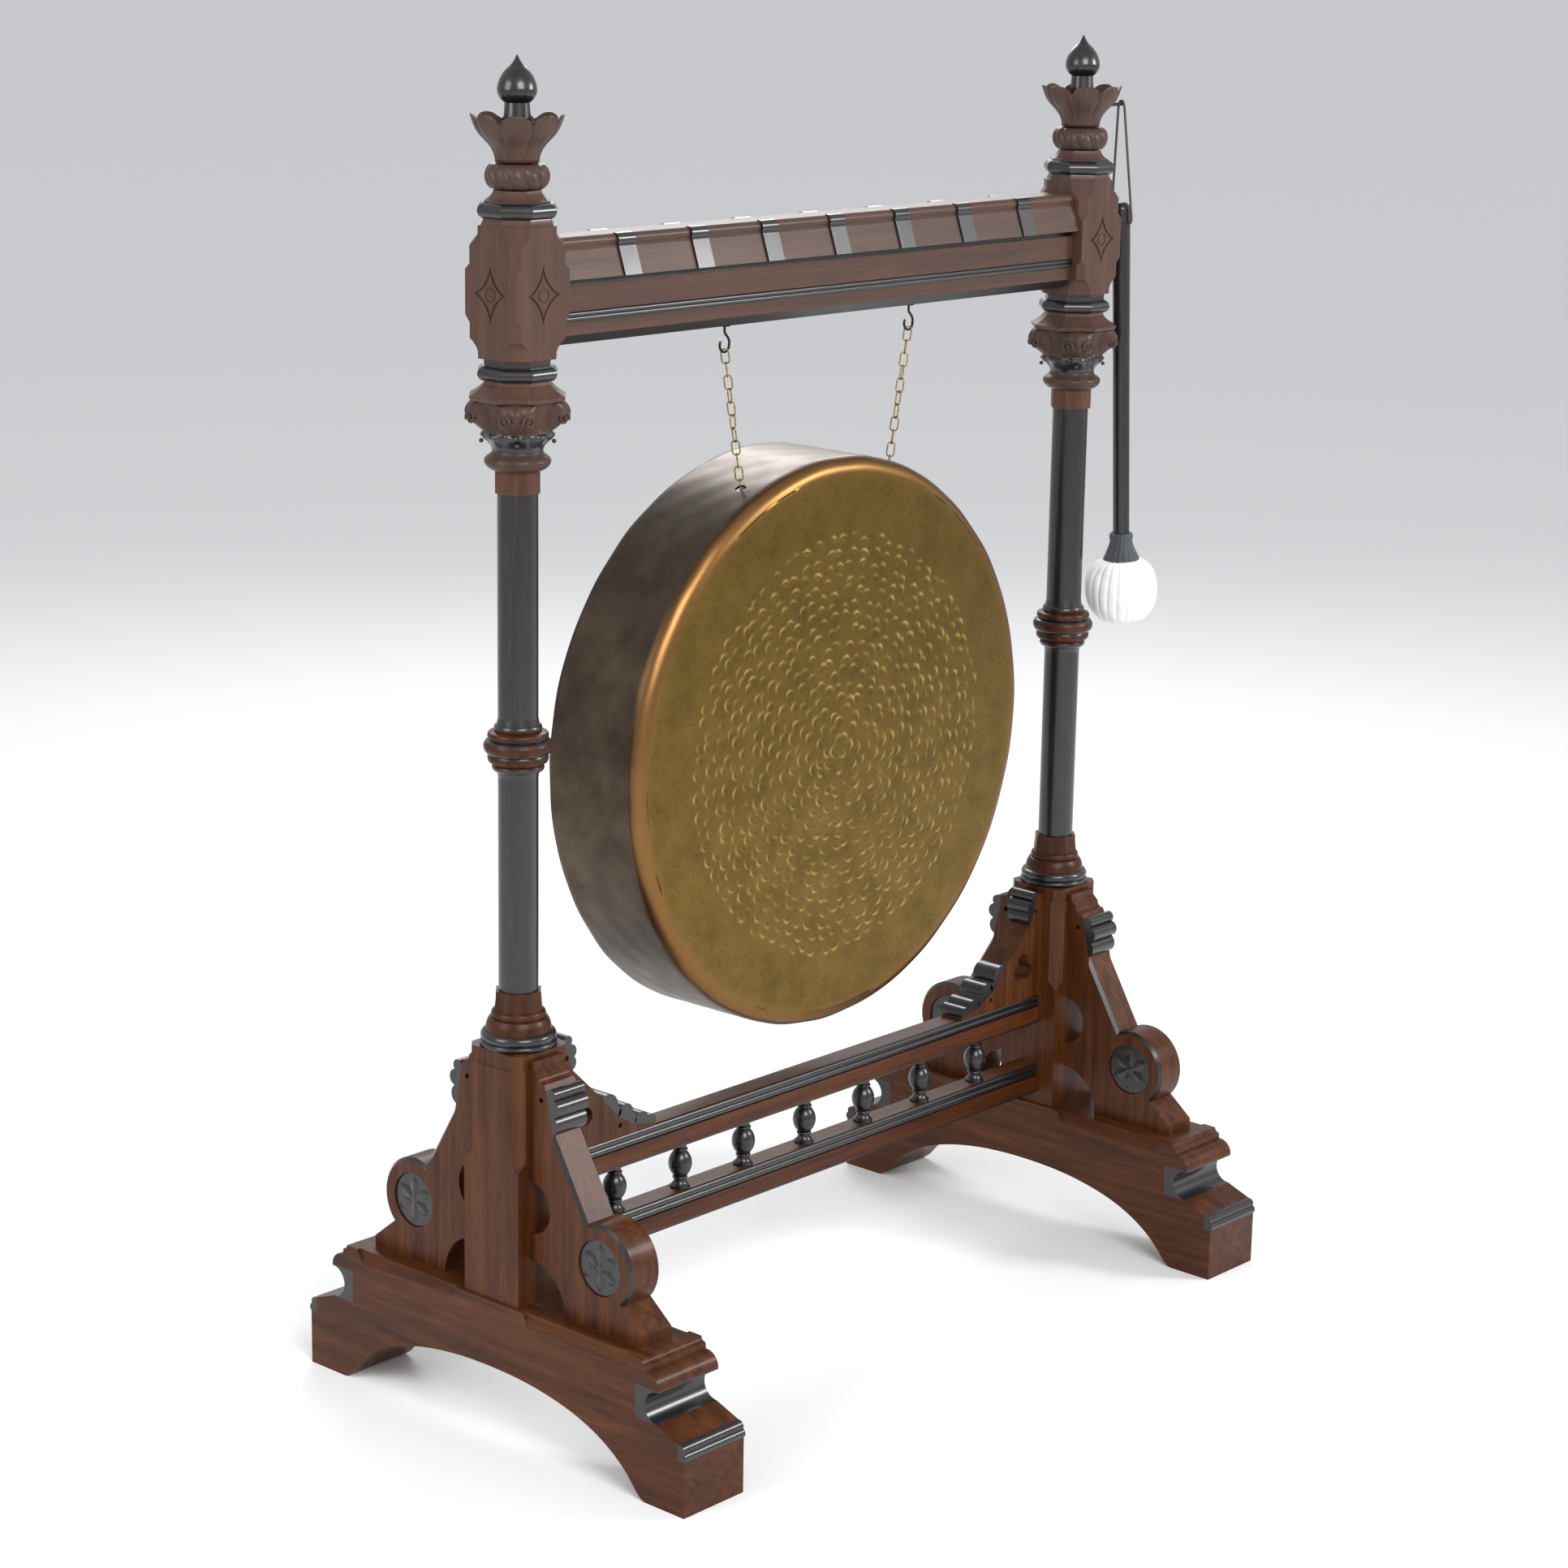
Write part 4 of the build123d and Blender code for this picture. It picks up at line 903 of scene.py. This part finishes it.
def collar_mesh():
    """Cloth bound tightly round the handle and let out in folds over the top of the pad."""
    depths = fold_depths(17, 9)
    outline = [(11.1 * MM, -440.5 * MM), (13.5 * MM, -440 * MM)]
    outline += [(r * MM, -z * MM) for r, z in (
        (15.2, 441.5), (15.8, 444), (15.6, 448), (14.9, 451), (15.6, 454), (17.2, 459), (19.4, 464.5),
        (21.9, 470), (24.2, 474.6), (24.6, 475.6), (23.4, 475.9), (19, 474.5), (13, 474), (11.1, 474))]

    def folded(radius, level, angle, row):
        down = max(0.0, (-441 * MM - level) / (35 * MM))
        pull = (0.8 + 1.6 * down) * MM * folds_at(angle + 0.25 * down, depths) * (radius > 13 * MM)
        return radius - pull, level + 0.8 * MM * math.sin(5 * angle) * (down > 0.8)

    vertices, faces = closed_revolution(outline, 17 * 14, folded)
    return in_beater_frame(vertices), faces


def woven_cloth(name, colour, thread, roughness, fuzz):
    """Woven cloth: crossed threads in fine relief and a soft fuzz at grazing angles. The thread is
    drawn as coarse as it must be to show."""
    material, tree, output = new_material(name)
    where = add_node(tree, "ShaderNodeTexCoord").outputs["Object"]
    weave = None
    for direction in ("X", "Z"):
        threads = add_node(
            tree, "ShaderNodeTexWave", {"wave_type": "BANDS", "bands_direction": direction},
            inputs={"Scale": 1 / thread / 20 * 3.14, "Distortion": 1.2, "Detail": 2.0}, links={"Vector": where},
        ).outputs["Fac"]
        weave = threads if weave is None else add_node(
            tree, "ShaderNodeMath", {"operation": "MULTIPLY"}, {0: weave, 1: threads}
        ).outputs[0]
    soil = add_node(
        tree, "ShaderNodeTexNoise", inputs={"Scale": 1 / 0.02, "Detail": 5.0}, links={"Vector": where}
    ).outputs["Fac"]
    stops = [(0.3, tinted(colour, 0.86)), (0.6, tuple(colour))]
    shade = add_node(tree, "ShaderNodeValToRGB", {"stops": stops}, {0: soil}).outputs[0]
    bump = add_node(
        tree, "ShaderNodeBump", inputs={"Strength": 0.3, "Distance": 0.0005}, links={"Height": weave}
    ).outputs[0]
    shader = add_node(
        tree, "ShaderNodeBsdfPrincipled",
        inputs={"Roughness": roughness, "Sheen Weight": fuzz, "Sheen Roughness": 0.5},
        links={"Base Color": shade, "Normal": bump},
    )
    tree.links.new(shader.outputs[0], output.inputs["Surface"])
    return material


class BeaterOperator(bpy.types.Operator):
    """Make the beater's pad and collar."""

    bl_idname = "gong_stand.beater"
    bl_label = "Beater"

    def execute(self, context):
        colours = context.scene.gong_stand_colours
        sizes = context.scene.gong_stand_sizes
        wool = woven_cloth("gathered_wool", colours.wool, 0.9 * MM, 0.9, 0.4)
        cloth = woven_cloth("bound_cloth", colours.collar, 0.8 * MM, 0.7, 0.2)
        pad = piece("gathered_pad", *pad_mesh(sizes.pad_fold), wool, "beater", "wool_pad", "beater_head")
        smooth = pad.modifiers.new("round", "SUBSURF")
        smooth.levels = smooth.render_levels = 1
        piece("bound_collar", *collar_mesh(), cloth, "beater", "collar_cloth", "beater_collar")
        return {"FINISHED"}


# ---- Thong ----
# Points (y, z) in the beater's upright frame, in millimetres: out of the handle's hole, up, over the
# peg, and down into the hole's other end.
THONG_ROUTE = [
    (-5.0, -29.0),
    (-17.2, -29.0),
    (-15.6, -9.5),
    (-5.8, 111.0),
    (-4.2, 130.45),
    (4.2, 130.45),
    (5.8, 111.0),
    (15.6, -9.5),
    (17.2, -29.0),
    (5.0, -29.0),
]


def oiled_leather(colour):
    """A cut leather thong, oiled: brown, with a fine cracked grain and a dull shine."""
    material, tree, output = new_material("oiled_leather")
    where = add_node(tree, "ShaderNodeTexCoord").outputs["Object"]
    grain = add_node(tree, "ShaderNodeTexVoronoi", inputs={"Scale": 1 / 0.0012}, links={"Vector": where}).outputs[0]
    stops = [(0.1, tinted(colour, 0.6)), (0.6, tuple(colour))]
    shade = add_node(tree, "ShaderNodeValToRGB", {"stops": stops}, {0: grain}).outputs[0]
    bump = add_node(
        tree, "ShaderNodeBump", inputs={"Strength": 0.3, "Distance": 0.0002}, links={"Height": grain}
    ).outputs[0]
    shader = add_node(
        tree, "ShaderNodeBsdfPrincipled", inputs={"Roughness": 0.55, "IOR": 1.5},
        links={"Base Color": shade, "Normal": bump},
    )
    tree.links.new(shader.outputs[0], output.inputs["Surface"])
    return material


class ThongOperator(bpy.types.Operator):
    """Hang the beater on its leather thong."""

    bl_idname = "gong_stand.thong"
    bl_label = "Thong"

    def execute(self, context):
        diameter = context.scene.gong_stand_sizes.thong
        curve = bpy.data.curves.new("leather_thong", "CURVE")
        curve.dimensions = "3D"
        curve.bevel_depth = diameter / 2
        curve.bevel_resolution = 4
        curve.resolution_u = 12
        curve.use_fill_caps = True
        spline = curve.splines.new("NURBS")
        spline.points.add(len(THONG_ROUTE) - 1)
        points = [BEATER_FRAME @ Vector((0, y * MM, z * MM)) for y, z in THONG_ROUTE]
        for point, place in zip(spline.points, points):
            point.co = (*place, 1)
        spline.order_u = 3
        spline.use_endpoint_u = True
        thong = bpy.data.objects.new("leather_thong", curve)
        context.scene.collection.objects.link(thong)
        curve.materials.append(oiled_leather(context.scene.gong_stand_colours.leather))
        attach(thong, "beater")
        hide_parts("beater_thong")
        return {"FINISHED"}


# ---- Wood of the stand ----
def above(low, high):
    return (low * MM, high * MM)


BASE_TORUS_TOP = 494.5
RAIL_TOPS = {"upper_rail": 328.0, "lower_rail": 228.5}


class WoodOperator(bpy.types.Operator):
    """Stain the stand's oak and ebonise its mouldings."""

    bl_idname = "gong_stand.wood"
    bl_label = "Stained and ebonised wood"

    def execute(self, context):
        colours = context.scene.gong_stand_colours
        upright = stained_oak("upright_oak", colours, "Z")
        # Painted glare: a grey haze mixed into the stain of the upper parts, standing in for light glancing off them.
        hazy = stained_oak("hazy_oak", colours, "Z", shade=0.7, painted_glare=0.13)
        bracket = stained_oak("bracket_oak", colours, "Z", chamfers=True)
        foot = stained_oak("foot_oak", colours, "Y", [
            {"y": above(308, 324), "z": above(68, 87.6)},
            {"y": above(240, 278), "z": above(100, 140.5)},
        ])
        base = stained_oak("base_ring_oak", colours, "Z", [{"z": above(470, BASE_TORUS_TOP)}], shade=0.75)
        lower = stained_oak("lower_collar_oak", colours, "Z", [{"z": above(542.4, 810)}], shade=0.75)
        ring = stained_oak("shaft_ring_oak", colours, "Z", [
            {"z": above(800, 808)}, {"z": above(821, 825.5)}, {"z": above(836.5, 841.5)}, {"z": above(852, 860)},
        ], shade=0.75)
        # Painted glare, stronger towards the top: a grey haze on the upper collar, neck, top ring and beam.
        upper = stained_oak("upper_collar_oak", colours, "Z", [{"z": above(850, 1121.2)}], painted_glare=0.08)
        neck = stained_oak("neck_oak", colours, "Z", [{"z": above(1248, 1269.2)}], painted_glare=0.16)
        top = stained_oak("top_ring_oak", colours, "Z", [{"z": above(1424.5, 1443.5)}], shade=0.7, painted_glare=0.14)
        beam = stained_oak("beam_oak", colours, "X", [
            {"z": above(1308.8, 1319.3)},
            {"z": above(1270, 1292.8)},
            {"z": above(1349.2, 1356)},
        ], shade=0.7, painted_glare=0.13)
        black = ebonised_wood("ebonised_turning", colours, "Z")
        for name, rail_top in RAIL_TOPS.items():
            rail = stained_oak(f"{name}_oak", colours, "X", [
                {"y": above(13.9, 20), "z": above(rail_top - 17.4, rail_top)},
                {"z": above(rail_top - 60, rail_top - 38)},
            ])
            finished(name, rail)
        finishes = {
            "foot": foot, "base_torus": base, "base_block": upright, "front_bracket": bracket,
            "back_bracket": bracket, "inner_bracket": upright, "lower_shaft": lower, "shaft_ring": ring,
            "upper_shaft": upper, "abacus": hazy, "neck_ring": neck, "upper_block": hazy, "lozenges": hazy,
            "top_ring": top, "finial": black, "crockets": black,
        }
        for side in POSTS:
            for part, finish in finishes.items():
                finished(f"{side}_{part}", finish)
        finished("beam", beam)
        finished("beam_straps", black)
        finished("balusters", black)
        finished("beater_handle", black)
        return {"FINISHED"}


class MetalOperator(bpy.types.Operator):
    """Finish the hooks, chains and pins."""

    bl_idname = "gong_stand.metal"
    bl_label = "Hooks and chains"

    def execute(self, context):
        colours = context.scene.gong_stand_colours
        brass = plain_metal("tarnished_brass", colours.brass, 0.3, 4 * MM)
        iron = plain_metal("blackened_iron", colours.iron, 0.45, 3 * MM)
        for side in POSTS:
            finished(f"{side}_chain", brass)
            finished(f"{side}_toggle", brass)
            finished(f"{side}_hook", iron)
            finished(f"{side}_tie_rod", iron)
        finished("thong_peg", iron)
        return {"FINISHED"}


# ---- Floor, lights and camera ----
CAMERA_PLACE = Vector((-3272.374, -2900.396, 1795.709)) * MM  # from the middle of the stand
CAMERA_AZIMUTH = math.radians(-48.018)
CAMERA_DOWN = math.radians(14.10)
CAMERA_ROLL = math.radians(0.967)
CAMERA_LENS = 83.29
# (name, place, size, power), in metres and watts
SOFT_LIGHTS = [
    ("key", (-1.8, -3.4, 3.2), (2.2, 1.6), 130),
    ("side", (-3.6, 0.6, 2.4), (1.6, 2.0), 60),
    ("back", (2.4, 2.6, 3.0), (2.0, 1.4), 60),
    ("face", (2.3, -2.7, 2.3), (0.9, 0.9), 70),
]
FLOOR_HALF = 60
SKY_STRENGTH = 0.66


def camera_matrix():
    azimuth, down = CAMERA_AZIMUTH, CAMERA_DOWN
    forward = Vector((-math.sin(azimuth) * math.cos(down), math.cos(azimuth) * math.cos(down), -math.sin(down)))
    right = forward.cross(Vector((0, 0, 1))).normalized()
    up = right.cross(forward)
    rolled_right = math.cos(CAMERA_ROLL) * right + math.sin(CAMERA_ROLL) * up
    rolled_up = -math.sin(CAMERA_ROLL) * right + math.cos(CAMERA_ROLL) * up
    turn = Matrix((rolled_right, rolled_up, -forward)).transposed().to_4x4()
    return Matrix.Translation(CAMERA_PLACE + Vector((STAND_MIDDLE, 0, 0))) @ turn


def soft_light(name, place, target, size, power):
    light = bpy.data.lights.new(name, "AREA")
    light.shape = "RECTANGLE"
    light.size, light.size_y = size
    light.energy = power
    obj = bpy.data.objects.new(name, light)
    obj.location = place
    obj.rotation_euler = (Vector(target) - Vector(place)).to_track_quat("-Z", "Y").to_euler()
    bpy.context.scene.collection.objects.link(obj)


class StageOperator(bpy.types.Operator):
    """Make the floor, soft lights and camera."""

    bl_idname = "gong_stand.stage"
    bl_label = "Stage"

    def execute(self, context):
        mesh = bpy.data.meshes.new("floor")
        corners = [(x * FLOOR_HALF, y * FLOOR_HALF, 0) for x, y in ((-1, -1), (1, -1), (1, 1), (-1, 1))]
        mesh.from_pydata(corners, [], [(0, 1, 2, 3)])
        floor = bpy.data.objects.new("floor", mesh)
        context.scene.collection.objects.link(floor)
        material, tree, output = new_material("pale_floor")
        paint = add_node(
            tree, "ShaderNodeBsdfPrincipled", inputs={"Base Color": (0.9, 0.9, 0.9, 1), "Roughness": 0.9}
        )
        tree.links.new(paint.outputs[0], output.inputs["Surface"])
        mesh.materials.append(material)
        world = bpy.data.worlds.new("studio")
        world.use_nodes = True
        background = world.node_tree.nodes["Background"]
        background.inputs["Color"].default_value = (0.95, 0.97, 1.0, 1)
        background.inputs["Strength"].default_value = SKY_STRENGTH
        context.scene.world = world
        context.scene.view_settings.view_transform = "Standard"
        centre = (STAND_MIDDLE, 0, 0.8)
        for name, place, size, power in SOFT_LIGHTS:
            soft_light(name, place, centre, size, power)
        camera = bpy.data.cameras.new("camera")
        camera.lens = CAMERA_LENS
        camera.sensor_width = 36
        camera.clip_end = 200
        obj = bpy.data.objects.new("camera", camera)
        obj.matrix_world = camera_matrix()
        context.scene.collection.objects.link(obj)
        context.scene.camera = obj
        return {"FINISHED"}


class GongStandPanel(bpy.types.Panel):
    """Lists the pieces and their settings."""

    bl_idname = "VIEW3D_PT_gong_stand"
    bl_label = "Gong stand"
    bl_space_type = "VIEW_3D"
    bl_region_type = "UI"
    bl_category = "Gong stand"

    def draw(self, context):
        for operator in STEPS:
            self.layout.operator(operator.bl_idname)
        for settings in (context.scene.gong_stand_sizes, context.scene.gong_stand_colours):
            for name in settings.__annotations__:
                self.layout.prop(settings, name)


STEPS = (
    StageOperator,
    ThongOperator,
    WoodOperator,
    MetalOperator,
    CarvingOperator,
    LeafCupsOperator,
    GongOperator,
    BeaterOperator,
)
CLASSES = (GongStandColours, GongStandSizes, *STEPS, GongStandPanel)


def register():
    for kind in CLASSES:
        bpy.utils.register_class(kind)
    bpy.types.Scene.gong_stand_colours = bpy.props.PointerProperty(type=GongStandColours)
    bpy.types.Scene.gong_stand_sizes = bpy.props.PointerProperty(type=GongStandSizes)


def unregister():
    del bpy.types.Scene.gong_stand_sizes
    del bpy.types.Scene.gong_stand_colours
    for kind in reversed(CLASSES):
        bpy.utils.unregister_class(kind)


def main():
    register()
    for step in STEPS:
        group, name = step.bl_idname.split(".")
        getattr(getattr(bpy.ops, group), name)()


if __name__ == "__main__":
    main()
